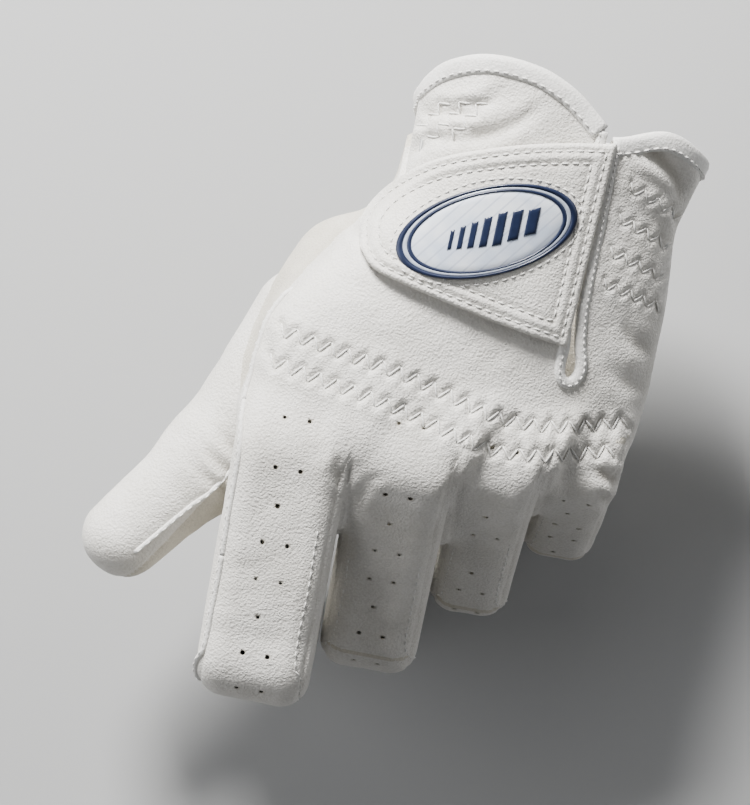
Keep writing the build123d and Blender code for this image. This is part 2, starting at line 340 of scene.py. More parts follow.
def through(points, spacing):
    """Places spacing apart along a smooth curve through a few plan points."""
    points = np.array(points, float)
    ends = np.vstack([2 * points[0] - points[1], points, 2 * points[-1] - points[-2]])
    fine = []
    for p, q, r, w in zip(ends, ends[1:], ends[2:], ends[3:]):
        for t in np.linspace(0, 1, 24, endpoint=False):
            fine.append(0.5 * (2 * q + (r - p) * t + (2 * p - 5 * q + 4 * r - w) * t ** 2
                               + (3 * q - p - 3 * r + w) * t ** 3))
    fine = np.array(fine + [points[-1]])
    return even(fine, spacing)


def even(line, spacing):
    """The same line with points evenly spaced."""
    along = np.concatenate([[0], np.cumsum(np.linalg.norm(np.diff(line, axis=0), axis=1))])
    count = max(2, int(round(along[-1] / spacing)) + 1)
    where = np.linspace(0, along[-1], count)
    return np.stack([np.interp(where, along, line[:, i]) for i in range(line.shape[1])], axis=1)


def zigzag(route, pitch, height):
    """Corners of a zigzag along a plan route."""
    line = even(through(route, 0.5), pitch / 2)
    direction = np.gradient(line, axis=0)
    direction /= np.linalg.norm(direction, axis=1, keepdims=True)
    across = np.stack([-direction[:, 1], direction[:, 0]], axis=1)
    side = np.where(np.arange(len(line)) % 2 == 0, 1.0, -1.0)[:, None]
    return line + across * side * height / 2


def distance_to(line, points):
    """How far plan points are from a line through closely spaced plan points."""
    fine = even(np.asarray(line), 0.3)
    result = np.full(len(points), 1e3)
    near = ((points > fine.min(0) - 8) & (points < fine.max(0) + 8)).all(axis=1)
    where = np.flatnonzero(near)
    for start in range(0, len(where), 4000):
        chosen = where[start:start + 4000]
        gap = points[chosen][:, None, :] - fine[None]
        result[chosen] = np.sqrt((gap ** 2).sum(axis=2).min(axis=1))
    return result


# the rows of zigzag stitching that gather the leather, as plan routes (x, y)
KNUCKLE_ROWS = [
    [(50.5, 47.5), (38, 49.8), (24, 52.0), (12, 55.0), (2, 57.3), (-10, 56.8), (-24.5, 53.0)],
    [(51.5, 54.0), (38, 56.5), (24, 59.0), (12, 62.0), (2, 64.0), (-9, 63.0), (-22.5, 59.5)],
]
CUFF_ROWS = [
    [(25.0, -4.5), (29.5, 1.5)], [(21.0, -5.2), (27.0, 3.6)], [(17.5, -5.6), (23.0, 3.0)],
    [(-14.5, 6.0), (-27.5, 9.5)], [(-13.5, 12.5), (-26.0, 16.0)], [(-13.0, 19.5), (-26.0, 22.5)],
    [(-13.0, 26.0), (-26.5, 28.5)],
]
ZIGZAG_PITCH, ZIGZAG_HEIGHT = 3.7, 3.0
CUFF_PITCH, CUFF_HEIGHT = 3.2, 2.2
# folds in the leather: plan start and end, half width, depth
FOLDS = [
    ((-14.0, -3.0), (-28.5, 9.0), 1.8, 1.3), ((-16.0, 3.0), (-29.0, 14.0), 1.4, 0.7),
    ((14.0, -8.0), (30.0, -2.0), 1.6, 0.7), ((6.0, -6.5), (24.0, 3.0), 1.4, 0.6),
    ((32.0, 8.0), (22.0, 3.0), 1.5, 0.7), ((41.0, 22.5), (33.0, 31.0), 1.6, 0.45),
    ((-27.5, 66.0), (-19.0, 63.5), 1.5, 0.9), ((-27.0, 71.0), (-21.0, 68.5), 1.3, 0.8),
    ((31.0, 78.0), (33.5, 70.0), 1.3, 0.5), ((9.2, 80.0), (7.0, 70.0), 1.4, 0.6),
    ((-9.0, 73.0), (-11.5, 66.0), 1.4, 0.7), ((-27.0, 38.0), (-19.0, 33.0), 1.7, 0.5),
    ((-27.5, 46.0), (-18.0, 42.5), 1.8, 0.4), ((28.0, 80.0), (24.0, 72.5), 1.3, 0.3),
]


def plan_relief(points):
    """Height of the leather's relief over plan points on the back: stitching, puffs and folds."""
    height = np.zeros(len(points))
    rows = [(r, ZIGZAG_PITCH, ZIGZAG_HEIGHT, 1.0) for r in KNUCKLE_ROWS]
    rows += [(r, CUFF_PITCH, CUFF_HEIGHT, 0.7) for r in CUFF_ROWS]
    for route, pitch, tall, strength in rows:
        away = distance_to(zigzag(route, pitch, tall), points)
        band = distance_to(through(route, 0.5), points)
        puff = np.exp(-(band / (tall * 0.95)) ** 2) * (1 - np.exp(-(away / 0.9) ** 2))
        height += strength * (0.62 * puff - 0.42 * np.exp(-(away / 0.5) ** 2))
    for start, end, width, depth in FOLDS:
        start, end = np.array(start), np.array(end)
        length = np.linalg.norm(end - start)
        along = (points - start) @ (end - start) / length
        across = (points - start) @ np.array([-(end - start)[1], (end - start)[0]]) / length
        across = across - 0.12 * length * np.sin(math.pi * np.clip(along / length, 0, 1))
        fade = smoothstep(-0.15, 0.35, along / length) * (1 - smoothstep(0.65, 1.15, along / length))
        ridge = np.exp(-((across - 1.9 * width) / (1.3 * width)) ** 2)
        ridge += np.exp(-((across + 1.9 * width) / (1.3 * width)) ** 2)
        height += depth * fade * (0.55 * ridge - np.exp(-(across / width) ** 2))
    return height


# ---- which body and panel each place on the skin belongs to --------------------------------------
def knuckle_blend(finger):
    """Start and end, as (x, y, z), of the skin's bend over the knuckle."""
    turn = finger["turns"][0] / 2
    reach = 9.0
    return [(finger["x"], *step_along(finger["knuckle"], turn, s)) for s in (-reach, reach)]


def middle_blend(finger):
    """Start and end of the skin's bend over the middle joint."""
    turn = (finger["turns"][0] + finger["turns"][1]) / 2
    radius = finger["radii"][1]
    centre = joint_centres(finger)[1]
    return [(finger["x"], *step_along(centre, turn, s * radius)) for s in (-0.5, 0.8)]


def in_slab(number, points):
    """Whether points lie between the planes beside a finger. Fingers count from the thumb side."""
    low = GAP_PLANES[number] if number < len(GAP_PLANES) else -1e3
    high = GAP_PLANES[number - 1] if number else 1e3
    return (points[:, 0] > low) & (points[:, 0] <= high)


def region_of(points):
    """The piece of skin that each point is on: 0 for the hand, 1 and 2 for the index's base and
    end, 3 and 4 for the middle finger's, and so on."""
    region = np.zeros(len(points), int)
    to_hand = hand_field(points)
    for number, finger in enumerate(FINGERS.values()):
        start, end = (np.array(p) for p in knuckle_blend(finger))
        ahead = (points - start) @ (end - start) > 0
        inside = in_slab(number, points)
        region[inside & ahead] = 2 * number + 1
        _, place = chain(finger, points)
        beyond = (place > 0.5) & (finger_field(finger, points) < to_hand + 2.0)
        region[inside & beyond] = 2 * number + 2
    return region


def side_seam(points, within=None):
    """Above zero on the fingers' backs and palms, below on their sides; zero along the seams.
    within may give a point inside the same finger for each point."""
    result = np.full(len(points), 9.0)
    for number, finger in enumerate(FINGERS.values()):
        inside = in_slab(number, points if within is None else within)
        away, _ = chain(finger, points[inside])
        edge = finger["radii"][1] * 0.62
        u = np.abs(points[inside, 0] - finger["x"]) - (finger["half"] - edge)
        result[inside] = (away + edge) * 0.72 - u * 0.7 + 0.4
    return result


def back_or_palm(points, region):
    """Above zero on the back of the hand and fingers, below on their palm side."""
    centre_x, centre_z, _, _, roll = section_at(points[:, 1])
    roll = np.radians(roll)
    result = -(points[:, 0] - centre_x) * np.sin(roll) + (points[:, 2] - centre_z) * np.cos(roll)
    for number, finger in enumerate(FINGERS.values()):
        mine = (region == 2 * number + 1) | (region == 2 * number + 2)
        centres = joint_centres(finger)
        yz = points[mine, 1:3]
        _, place = chain(finger, points[mine])
        bone = np.clip(place.astype(int), 0, 2)
        a = np.array(centres)[bone]
        turn = np.radians(np.array(finger["turns"]))[bone]
        result[mine] = (yz[:, 0] - a[:, 0]) * np.sin(turn) + (yz[:, 1] - a[:, 1]) * np.cos(turn)
    return result


CUFF_BACK = [(-34.0, -2.0), (-30.9, -2.5), (-21.2, -5.8), (-14.0, -3.4), (-9.5, -2.2), (-5.2, -6.3),
             (2.1, -11.3), (11.0, -13.9), (19.5, -14.0), (26.5, -11.8), (30.0, -8.6), (33.0, -4.0),
             (36.0, 0.0)]
CUFF_PALM = -5.0
SLIT_END = (-10.0, 45.5)
SLIT_HALF = 1.1
DROP_RADIUS = 1.9


def cuff_edge(x, back):
    """The cuff's y at each x, on the back (1) or on the palm side (0)."""
    line = through(CUFF_BACK, 0.5)
    return CUFF_PALM + (np.interp(x, line[:, 0], line[:, 1]) - CUFF_PALM) * back


def cuff_field(points):
    """Above zero on the glove's side of the cuff's edge."""
    back = smoothstep(-16.0, -1.0, points[:, 2] - 0.09 * points[:, 0])
    return points[:, 1] - cuff_edge(points[:, 0], back)


def slit_line(y):
    return -8.6 - 1.4 * smoothstep(30.0, 45.0, y)


def slit_field(points):
    """Above zero outside the slit in the back, which widens into a drop at its end."""
    straight = np.abs(points[:, 0] - slit_line(points[:, 1])) - SLIT_HALF
    straight = np.maximum(straight, points[:, 1] - SLIT_END[1])
    dy = points[:, 1] - (SLIT_END[1] - 1.0)
    drop = np.hypot(points[:, 0] - SLIT_END[0], dy * np.where(dy < 0, 0.42, 0.62)) - DROP_RADIUS
    result = np.minimum(straight, drop)
    return np.where(points[:, 2] < 0, 9.0, result)


def conform(vertices, seam, reach):
    """Moves corners that are close to a seam along the skin onto it."""
    value = seam(vertices)
    near = np.flatnonzero(np.abs(value) < reach)
    slope = gradient(seam, vertices[near])
    size = (slope ** 2).sum(axis=1)
    move = (value[near] / np.maximum(size, 0.3))[:, None] * slope
    length = np.linalg.norm(move, axis=1)
    move[length > reach] = 0
    vertices[near] -= move
    return vertices


def corner_normals(vertices, quads):
    """Smooth normals at the vertices."""
    p = vertices[quads]
    face = np.cross(p[:, 2] - p[:, 0], p[:, 3] - p[:, 1])
    total = np.zeros_like(vertices)
    for corner in range(4):
        np.add.at(total, quads[:, corner], face)
    return total / np.maximum(np.linalg.norm(total, axis=1, keepdims=True), 1e-12)


# ---- making objects ------------------------------------------------------------------------------
def make_object(name, vertices, faces, material, normals=None, shade=None):
    """A mesh object from vertices in millimetres. normals are for each corner of each face."""
    mesh = bpy.data.meshes.new(name)
    mesh.from_pydata((np.asarray(vertices) * MM).tolist(), [], [list(f) for f in faces])
    mesh.polygons.foreach_set("use_smooth", [True] * len(mesh.polygons))
    place = mesh.attributes.new("rest_place", "FLOAT_VECTOR", "POINT")
    place.data.foreach_set("vector", np.asarray(vertices, np.float32).ravel() * MM)
    # painted shade for each vertex, which darkens the leather's colour
    value = mesh.attributes.new("painted_shade", "FLOAT", "POINT")
    value.data.foreach_set("value", np.asarray(
        np.zeros(len(vertices)) if shade is None else shade, np.float32))
    mesh.update()
    if normals is not None:
        mesh.normals_split_custom_set(normals)
    mesh.materials.append(material)
    piece = bpy.data.objects.new(name, mesh)
    bpy.context.scene.collection.objects.link(piece)
    return piece


def attach(piece, region):
    """Places a piece on the glove: given a body's name, or region 0 for the hand, it is parented to that
    body; on the tab's root, the thumb or a finger's region its transform is only baked in.
    """
    names = list(FINGERS)
    if region == "tab_root":
        [tuple(np.array(p) * MM) for p in TAB_BLEND]
        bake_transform(piece)
    elif isinstance(region, str):
        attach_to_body(piece, region)
    elif region == 0:
        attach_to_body(piece, "hand")
    elif region == THUMB_REGION:
        [tuple(np.array(p) * MM) for p in THUMB_BLEND]
        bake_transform(piece)
    else:
        name = names[(region - 1) // 2]
        finger = FINGERS[name]
        if region % 2:
            ends = [tuple(np.array(p) * MM) for p in knuckle_blend(finger)]
            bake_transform(piece)
        else:
            ends = [tuple(np.array(p) * MM) for p in middle_blend(finger)]
            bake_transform(piece)
    return piece


THUMB_REGION = 9
THUMB_ALONG = (THUMB[1] - THUMB[0]) / np.linalg.norm(THUMB[1] - THUMB[0])
THUMB_BLEND = (THUMB[0] + 4.0 * THUMB_ALONG, THUMB[0] + 22.0 * THUMB_ALONG)


def leather_panel(name, skin_vertices, skin_normals, faces, material, shade, thick=LEATHER):
    """A piece of leather with thickness, from faces of the skin. faces is a list of vertex lists."""
    used = np.unique(np.concatenate([np.asarray(f) for f in faces]))
    renumber = {int(v): i for i, v in enumerate(used)}
    outer = skin_vertices[used]
    inner = outer - skin_normals[used] * thick
    count = len(used)
    result, corners = [], []
    directed = {}
    for face in faces:
        ids = [renumber[int(v)] for v in face]
        result.append(ids)
        corners.extend(skin_normals[face])
        for a, b in zip(ids, ids[1:] + ids[:1]):
            directed[(a, b)] = True
    for face in faces:
        ids = [renumber[int(v)] + count for v in reversed(list(face))]
        result.append(ids)
        corners.extend(-skin_normals[list(reversed(list(face)))])
    for a, b in [e for e in directed if (e[1], e[0]) not in directed]:
        result.append([b, a, a + count, b + count])
        flat = np.cross(outer[a] - outer[b], inner[a] - outer[a])
        flat /= max(np.linalg.norm(flat), 1e-9)
        corners.extend([flat] * 4)
    shades = np.concatenate([shade[used]] * 2)
    return make_object(name, np.concatenate([outer, inner]), result, material, corners, shades)


# ---- materials -----------------------------------------------------------------------------------
class Shader:
    """A material under construction, with short calls for the nodes used here."""

    def __init__(self, name):
        self.material = bpy.data.materials.new(name)
        self.material.use_nodes = True
        self.tree = self.material.node_tree
        self.surface = self.tree.nodes["Principled BSDF"]
        self.place = self.tree.nodes.new("ShaderNodeAttribute")
        self.place.attribute_name = "rest_place"

    def node(self, kind, inputs=(), **settings):
        node = self.tree.nodes.new("ShaderNode" + kind)
        for key, value in settings.items():
            setattr(node, key, value)
        for key, value in dict(inputs).items():
            self.put(value, node.inputs[key])
        return node

    def put(self, value, socket):
        if isinstance(value, bpy.types.NodeSocket):
            self.tree.links.new(value, socket)
        else:
            socket.default_value = value

    def noise(self, size, detail=2.0, stretch=None):
        """Noise with features of about size metres."""
        vector = self.place.outputs["Vector"]
        if stretch is not None:
            vector = self.node("Mapping", {"Vector": vector, "Scale": stretch}).outputs["Vector"]
        return self.node("TexNoise", {"Vector": vector, "Scale": 1 / size, "Detail": detail})

    def ramp(self, value, *stops):
        """A colour ramp with (position, colour) stops."""
        node = self.node("ValToRGB", {"Fac": value})
        while len(node.color_ramp.elements) < len(stops):
            node.color_ramp.elements.new(0.5)
        for element, (position, color) in zip(node.color_ramp.elements, stops):
            element.position = position
            element.color = (*color, 1)
        return node.outputs["Color"]

    def mix(self, factor, first, second, blend="MIX"):
        node = self.node("Mix", data_type="RGBA", blend_type=blend)
        self.put(factor, node.inputs[0])
        self.put(first, node.inputs[6])
        self.put(second, node.inputs[7])
        return node.outputs[2]

    def math(self, operation, first, second=0.0):
        node = self.node("Math", operation=operation)
        self.put(first, node.inputs[0])
        self.put(second, node.inputs[1])
        return node.outputs[0]

    def bump(self, height, distance, strength=1.0, below=None):
        inputs = {"Height": height, "Distance": distance, "Strength": strength}
        if below is not None:
            inputs["Normal"] = below
        return self.node("Bump", inputs).outputs["Normal"]

    def finish(self, **values):
        for key, value in values.items():
            self.put(value, self.surface.inputs[key.replace("_", " ")])
        return self.material


def leather_material(name, light, dark, grain=0.00046, rough=(0.5, 0.68), depth=0.00009):
    """Fine soft leather: pebbled grain, faint mottling, and painted shade that makes it darker and
    duller in its creases, holes and under the tab.
    """
    s = Shader(name)
    warped = s.mix(0.0007, s.place.outputs["Vector"], s.noise(0.0016, 3).outputs["Color"], "ADD")
    cells = s.node("TexVoronoi", {"Vector": warped, "Scale": 1 / grain, "Randomness": 1.0},
                   feature="SMOOTH_F1")
    pebbles = cells.outputs["Distance"]
    pores = s.noise(0.00022, 2).outputs["Fac"]
    cloud = s.noise(0.011, 4).outputs["Fac"]
    tint = s.ramp(cloud, (0.32, dark), (0.62, light))
    painted_shade = s.node("Attribute", attribute_name="painted_shade").outputs["Fac"]
    # the darker, warmer tone that the painted shade mixes into the leather
    painted_shade_tone = tuple(c * f for c, f in zip(dark, (0.62, 0.60, 0.56)))
    tint = s.mix(painted_shade, tint, (*painted_shade_tone, 1))
    speck = s.ramp(pebbles, (0.2, (1, 1, 1)), (0.8, (0.72, 0.71, 0.69)))
    tint = s.mix(0.55, tint, s.mix(1.0, tint, speck, "MULTIPLY"))
    wear = s.math("ADD", s.math("MULTIPLY", cloud, rough[1] - rough[0]), rough[0])
    soft = s.bump(s.noise(0.0045, 3).outputs["Fac"], 0.00035, 0.55)
    fine = s.bump(s.math("SUBTRACT", pores, s.math("MULTIPLY", pebbles, 2.2)), depth, 0.9, soft)
    return s.finish(Base_Color=tint, Roughness=wear, Normal=fine, Sheen_Weight=0.06,
                    Sheen_Roughness=0.45, Specular_IOR_Level=0.42)


def thread_material():
    s = Shader("sewing_thread")
    twist = s.node("TexWave", {"Vector": s.place.outputs["Vector"], "Scale": 900.0,
                               "Distortion": 1.0}, bands_direction="DIAGONAL")
    tint = s.ramp(twist.outputs["Fac"], (0.1, (0.62, 0.61, 0.58)), (0.8, (0.86, 0.855, 0.835)))
    return s.finish(Base_Color=tint, Roughness=0.62, Sheen_Weight=0.25,
                    Normal=s.bump(twist.outputs["Fac"], 0.00005, 0.7))


def loop_material():
    s = Shader("loop_pile")
    fuzz = s.noise(0.0005, 5)
    tint = s.ramp(fuzz.outputs["Fac"], (0.35, (0.55, 0.55, 0.53)), (0.7, (0.82, 0.82, 0.8)))
    return s.finish(Base_Color=tint, Roughness=0.95, Sheen_Weight=0.5,
                    Normal=s.bump(fuzz.outputs["Fac"], 0.0004, 1.0))


def hook_material():
    s = Shader("hook_tape")
    hooks = s.node("TexVoronoi", {"Vector": s.place.outputs["Vector"], "Scale": 1400.0,
                                  "Randomness": 0.15})
    tint = s.ramp(hooks.outputs["Distance"], (0.2, (0.86, 0.86, 0.85)), (0.7, (0.45, 0.45, 0.44)))
    return s.finish(Base_Color=tint, Roughness=0.45,
                    Normal=s.bump(hooks.outputs["Distance"], -0.0004, 1.0))


def elastic_material():
    s = Shader("knitted_elastic")
    ribs = s.node("TexWave", {"Vector": s.place.outputs["Vector"], "Scale": 500.0,
                              "Distortion": 0.6}, bands_direction="X")
    tint = s.ramp(ribs.outputs["Fac"], (0.1, (0.5, 0.5, 0.49)), (0.8, (0.82, 0.82, 0.8)))
    return s.finish(Base_Color=tint, Roughness=0.85,
                    Normal=s.bump(ribs.outputs["Fac"], 0.0003, 1.0))


def badge_material():
    """Pearly moulded plastic with slanting hatch lines and no lettering."""
    s = Shader("badge_enamel")
    turned = s.node("Mapping", {"Vector": s.place.outputs["Vector"],
                                "Rotation": (0, 0, math.radians(38))}).outputs["Vector"]
    x = s.node("SeparateXYZ", {"Vector": turned}).outputs["X"]
    wave = s.math("SINE", s.math("MULTIPLY", x, 2 * math.pi / 0.0021))
    lines = s.ramp(wave, (0.80, (0, 0, 0)), (0.93, (1, 1, 1)))
    cloud = s.ramp(s.noise(0.007, 3).outputs["Fac"], (0.35, (0.60, 0.68, 0.82)),
                   (0.65, (0.86, 0.90, 0.96)))
    tint = s.mix(s.mix(1.0, lines, (0.55, 0.55, 0.55, 1), "MULTIPLY"), cloud, (0.42, 0.47, 0.60, 1))
    spark = s.noise(0.00035, 2).outputs["Fac"]
    return s.finish(Base_Color=tint, Roughness=0.24, Metallic=0.12, Coat_Weight=0.55,
                    Coat_Roughness=0.08, Normal=s.bump(spark, 0.00002, 0.35))


def rim_material(name, color):
    s = Shader(name)
    worn = s.ramp(s.noise(0.0018, 4).outputs["Fac"], (0.3, tuple(c * 0.7 for c in color)), (0.75, color))
    return s.finish(Base_Color=worn, Roughness=0.34, Metallic=0.1, Coat_Weight=0.3,
                    Coat_Roughness=0.1, Normal=s.bump(s.noise(0.0006, 3).outputs["Fac"], 0.00002, 0.4))


def floor_material():
    s = Shader("studio_floor")
    tint = s.ramp(s.noise(0.4, 2).outputs["Fac"], (0.3, (0.40, 0.405, 0.41)), (0.7, (0.43, 0.435, 0.44)))
    return s.finish(Base_Color=tint, Roughness=0.8)


# ---- threads, welts and bindings -----------------------------------------------------------------
def unit(vectors):
    return vectors / np.maximum(np.linalg.norm(vectors, axis=-1, keepdims=True), 1e-9)


def tube(name, line, normals, section, material, closed=False):
    """A strip swept along a line on the skin. section holds (across, up) points of its outline."""
    tangent = np.roll(line, -1, 0) - np.roll(line, 1, 0) if closed else np.gradient(line, axis=0)
    tangent = unit(tangent)
    across = unit(np.cross(tangent, normals))
    up = unit(np.cross(across, tangent))
    section = np.asarray(section, float)
    count, sides = len(line), len(section)
    vertices = (line[:, None] + across[:, None] * section[None, :, :1]
                + up[:, None] * section[None, :, 1:]).reshape(-1, 3)
    faces = []
    for i in range(count if closed else count - 1):
        j = (i + 1) % count
        for k in range(sides):
            m = (k + 1) % sides
            faces.append([i * sides + k, i * sides + m, j * sides + m, j * sides + k])
    if not closed:
        faces.append(list(range(sides))[::-1])
        faces.append([(count - 1) * sides + k for k in range(sides)])
    return make_object(name, vertices, faces, material)


def oval(half_across, half_up, sides=10, lift=0.0):
    angles = np.linspace(0, 2 * math.pi, sides, endpoint=False)
    return np.stack([np.cos(angles) * half_across, np.sin(angles) * half_up + lift], axis=1)


# rings along a stitch: place from start to end, lift and swell as parts of its radius
STITCH_RINGS = ((0.0, -0.45, 0.35), (0.12, 0.1, 0.85), (0.5, 0.62, 1.0), (0.88, 0.1, 0.85),
                (1.0, -0.45, 0.35))
STITCH_SIDES = 6


def stitch_mesh(stitches, radius):
    """Small arched threads, each from start to end over the surface with its normal."""
    starts, ends, normals = (np.array(x, float) for x in zip(*stitches))
    direction = unit(ends - starts)
    across = unit(np.cross(direction, normals))
    vertices, faces = [], []
    for t, lift, swell in STITCH_RINGS:
        centre = starts + (ends - starts) * t + normals * radius * lift
        for k in range(STITCH_SIDES):
            angle = 2 * math.pi * k / STITCH_SIDES
            around = across * math.cos(angle) + normals * math.sin(angle)
            vertices.append(centre + radius * swell * around)
    vertices = np.stack(vertices, axis=1)
    per_stitch = vertices.shape[1]
    for number in range(len(starts)):
        base = number * per_stitch
        for ring in range(len(STITCH_RINGS) - 1):
            for k in range(STITCH_SIDES):
                m = (k + 1) % STITCH_SIDES
                a, b = base + ring * STITCH_SIDES, base + (ring + 1) * STITCH_SIDES
                faces.append([a + k, b + k, b + m, a + m])
        faces.append([base + k for k in range(STITCH_SIDES)])
        faces.append([base + per_stitch - 1 - k for k in range(STITCH_SIDES)])
    return vertices.reshape(-1, 3), faces


class Surface:
    """Finds places on a surface: by dropping plan points onto it, or by the nearest spot."""

    def __init__(self, vertices, faces):
        corners = np.asarray(vertices).tolist()
        self.tree = BVHTree.FromPolygons(corners, [list(map(int, f)) for f in faces])

    def drop(self, plan):
        """Points and normals under plan points, and which plan points hit the surface."""
        points, normals, hit = [], [], []
        for x, y in plan:
            place, normal, _, _ = self.tree.ray_cast(Vector((x, y, 90)), Vector((0, 0, -1)))
            hit.append(place is not None)
            points.append(place if place is not None else (x, y, 0))
            normals.append(normal if place is not None else (0, 0, 1))
        return np.array(points, float), np.array(normals, float), np.array(hit)

    def nearest(self, guesses):
        found = [self.tree.find_nearest(Vector(p))[:2] for p in guesses]
        return np.array([f[0] for f in found], float), np.array([f[1] for f in found], float)


def even_out(values, rounds=2, closed=False):
    """Smooths a line's points or normals along it."""
    for _ in range(rounds):
        if closed:
            values = (np.roll(values, 1, 0) + 2 * values + np.roll(values, -1, 0)) / 4
        else:
            inner = (values[:-2] + 2 * values[1:-1] + values[2:]) / 4
            values = np.concatenate([values[:1], inner, values[-1:]])
    return values


def row_of_stitches(line, normals, pitch, length, closed=False):
    """Stitches of a length, a pitch apart, along a line of points on a surface."""
    joined = np.concatenate([line, normals], axis=1)
    if closed:
        joined = np.concatenate([joined, joined[:1]])
    along = np.concatenate([[0], np.cumsum(np.linalg.norm(np.diff(joined[:, :3], axis=0), axis=1))])
    count = max(1, int(along[-1] / pitch))
    middles = (np.arange(count) + 0.5) * along[-1] / count

    def at(where):
        return np.stack([np.interp(where, along, joined[:, i]) for i in range(6)], axis=1)

    a, b, m = at(middles - length / 2), at(middles + length / 2), at(middles)
    return list(zip(a[:, :3], b[:, :3], unit(m[:, 3:])))


class Sewing:
    """Collects stitches and sews them on, grouped by the region of the skin or the body that they lie
    on.
    """

    def __init__(self, material):
        self.material = material
        self.groups = {}

    def add(self, label, stitches, radius, region=None):
        if not stitches:
            return
        middles = np.array([(np.asarray(a) + b) / 2 for a, b, _ in stitches])
        regions = region_of(middles) if region is None else [region] * len(stitches)
        for stitch, place in zip(stitches, regions):
            place = place if isinstance(place, str) else int(place)
            self.groups.setdefault((label, place, radius), []).append(stitch)

    def finish(self):
        for (label, place, radius), stitches in self.groups.items():
            vertices, faces = stitch_mesh(stitches, radius)
            suffix = place if isinstance(place, str) else REGION_NAMES[place]
            piece = make_object(f"{label}_{suffix}", vertices, faces, self.material)
            attach(piece, place)


REGION_NAMES = ["hand"] + [f"{name}_{part}" for name in FINGERS for part in ("base", "end")] + ["thumb"]


def ordered_edges(faces):
    """The open edges of a set of faces, as lists of vertices in order. The longest comes first."""
    used = set()
    for face in faces:
        for a, b in zip(face, face[1:] + face[:1]):
            used.add((a, b))
    following = {a: b for a, b in used if (b, a) not in used}
    chains = []
    while following:
        start = next(iter(following))
        line = [start]
        while line[-1] in following:
            line.append(following.pop(line[-1]))
            if line[-1] == start:
                line.pop()
                break
        chains.append(line)
    return sorted(chains, key=len, reverse=True)


# ---- the leather skin ----------------------------------------------------------------------------
HOLE_RADIUS = 0.62
HOLE_PITCH = 8.1
HOLE_SPREAD = 2.6
# for each finger: the first row's place along the back from the knuckle, and where it is in the
# pattern of two rows of pairs and a single hole
HOLE_ROWS = {"index": (-6.0, 0, 11), "middle": (-6.5, 0, 10), "ring": (-2.5, 1, 8),
             "little": (1.0, 1, 6)}


def back_line(finger, along):
    """Centre (y, z) and outward direction at a distance along the finger's back, round its bends."""
    centres, turns, bones = joint_centres(finger), finger["turns"], finger["bones"]
    if along < 0:
        return (centres[0][0] + along, centres[0][1]), (0.0, 1.0)
    for number in range(3):
        if along <= bones[number]:
            angle = math.radians(turns[number])
            centre = step_along(centres[number], turns[number], along)
            return centre, (math.sin(angle), math.cos(angle))
        along -= bones[number]
        if number < 2:
            sweep = (turns[number + 1] - turns[number])
            arc = math.radians(sweep) * finger["radii"][number + 1]
            if along <= arc:
                angle = math.radians(turns[number] + sweep * along / arc)
                return centres[number + 1], (math.sin(angle), math.cos(angle))
            along -= arc
    angle = math.radians(turns[2])
    return centres[3], (math.sin(angle), math.cos(angle))


def hole_places(surface):
    """Centres of the ventilation holes on the fingers' backs."""
    places = []
    for name, (start, phase, rows) in HOLE_ROWS.items():
        finger = FINGERS[name]
        for number in range(rows):
            centre, out = back_line(finger, start + number * HOLE_PITCH)
            single = (number + phase) % 3 == 2
            for side in ((0.3,) if single else (-1.0, 1.0)):
                x = finger["x"] + side * HOLE_SPREAD
                origin = Vector((x, centre[0] + out[0] * 30, centre[1] + out[1] * 30))
                place, _, _, _ = surface.tree.ray_cast(origin, Vector((0, -out[0], -out[1])))
                if place is not None:
                    places.append(np.array(place))
    return places


def punch(vertices, normals, shade, faces, tags, centres):
    """Cuts a round hole through the skin at each centre, from the faces round one corner."""
    around = {}
    for number, face in enumerate(faces):
        for v in face:
            around.setdefault(int(v), []).append(number)
    vertices, normals, shade = list(vertices), list(normals), list(shade)
    all_places = np.array(vertices)
    gone, extra, extra_tags = set(), [], []
    for centre in centres:
        distance = np.linalg.norm(all_places - centre, axis=1)
        middle = int(np.argmin(distance))
        ring = around.get(middle, [])
        if distance[middle] > 2 * VOXEL or not ring or any(f in gone for f in ring):
            continue
        if len({tags[f] for f in ring}) > 1:
            continue
        border = {}
        for f in ring:
            face = [int(v) for v in faces[f]]
            for a, b in zip(face, face[1:] + face[:1]):
                if middle not in (a, b):
                    border[a] = b
        loop = [next(iter(border))]
        while len(loop) < len(border) and loop[-1] in border:
            loop.append(border[loop[-1]])
        if len(set(loop)) != len(border):
            continue
        normal = np.array(normals[middle])
        away = np.array([all_places[v] for v in loop]) - centre
        flat = unit(away - np.outer(away @ normal, normal))
        radius = np.minimum(HOLE_RADIUS, 0.88 * np.linalg.norm(away, axis=1).min())
        first = len(vertices)
        for number in range(len(loop)):
            after = unit(flat[number] + flat[(number + 1) % len(loop)])
            for direction in (flat[number], after):
                vertices.append(centre + direction * radius - normal * 0.08)
                normals.append(unit(normal - direction * 0.5))
                # the ring round each hole is painted in full shade, for the dark inside of the hole
                shade.append(1.0)
        count = 2 * len(loop)
        for number, v in enumerate(loop):
            following = loop[(number + 1) % len(loop)]
            p, q, r = (first + (2 * number + i) % count for i in range(3))
            extra += [[v, q, p], [v, following, q], [following, r, q]]
            extra_tags += [tags[ring[0]]] * 3
        gone.update(ring)
    kept = [i for i in range(len(faces)) if i not in gone]
    faces = [list(map(int, faces[i])) for i in kept] + extra
    tags = [tags[i] for i in kept] + extra_tags
    return np.array(vertices), np.array(normals), np.array(shade), faces, tags


PANELS = ("back", "palm", "sides")


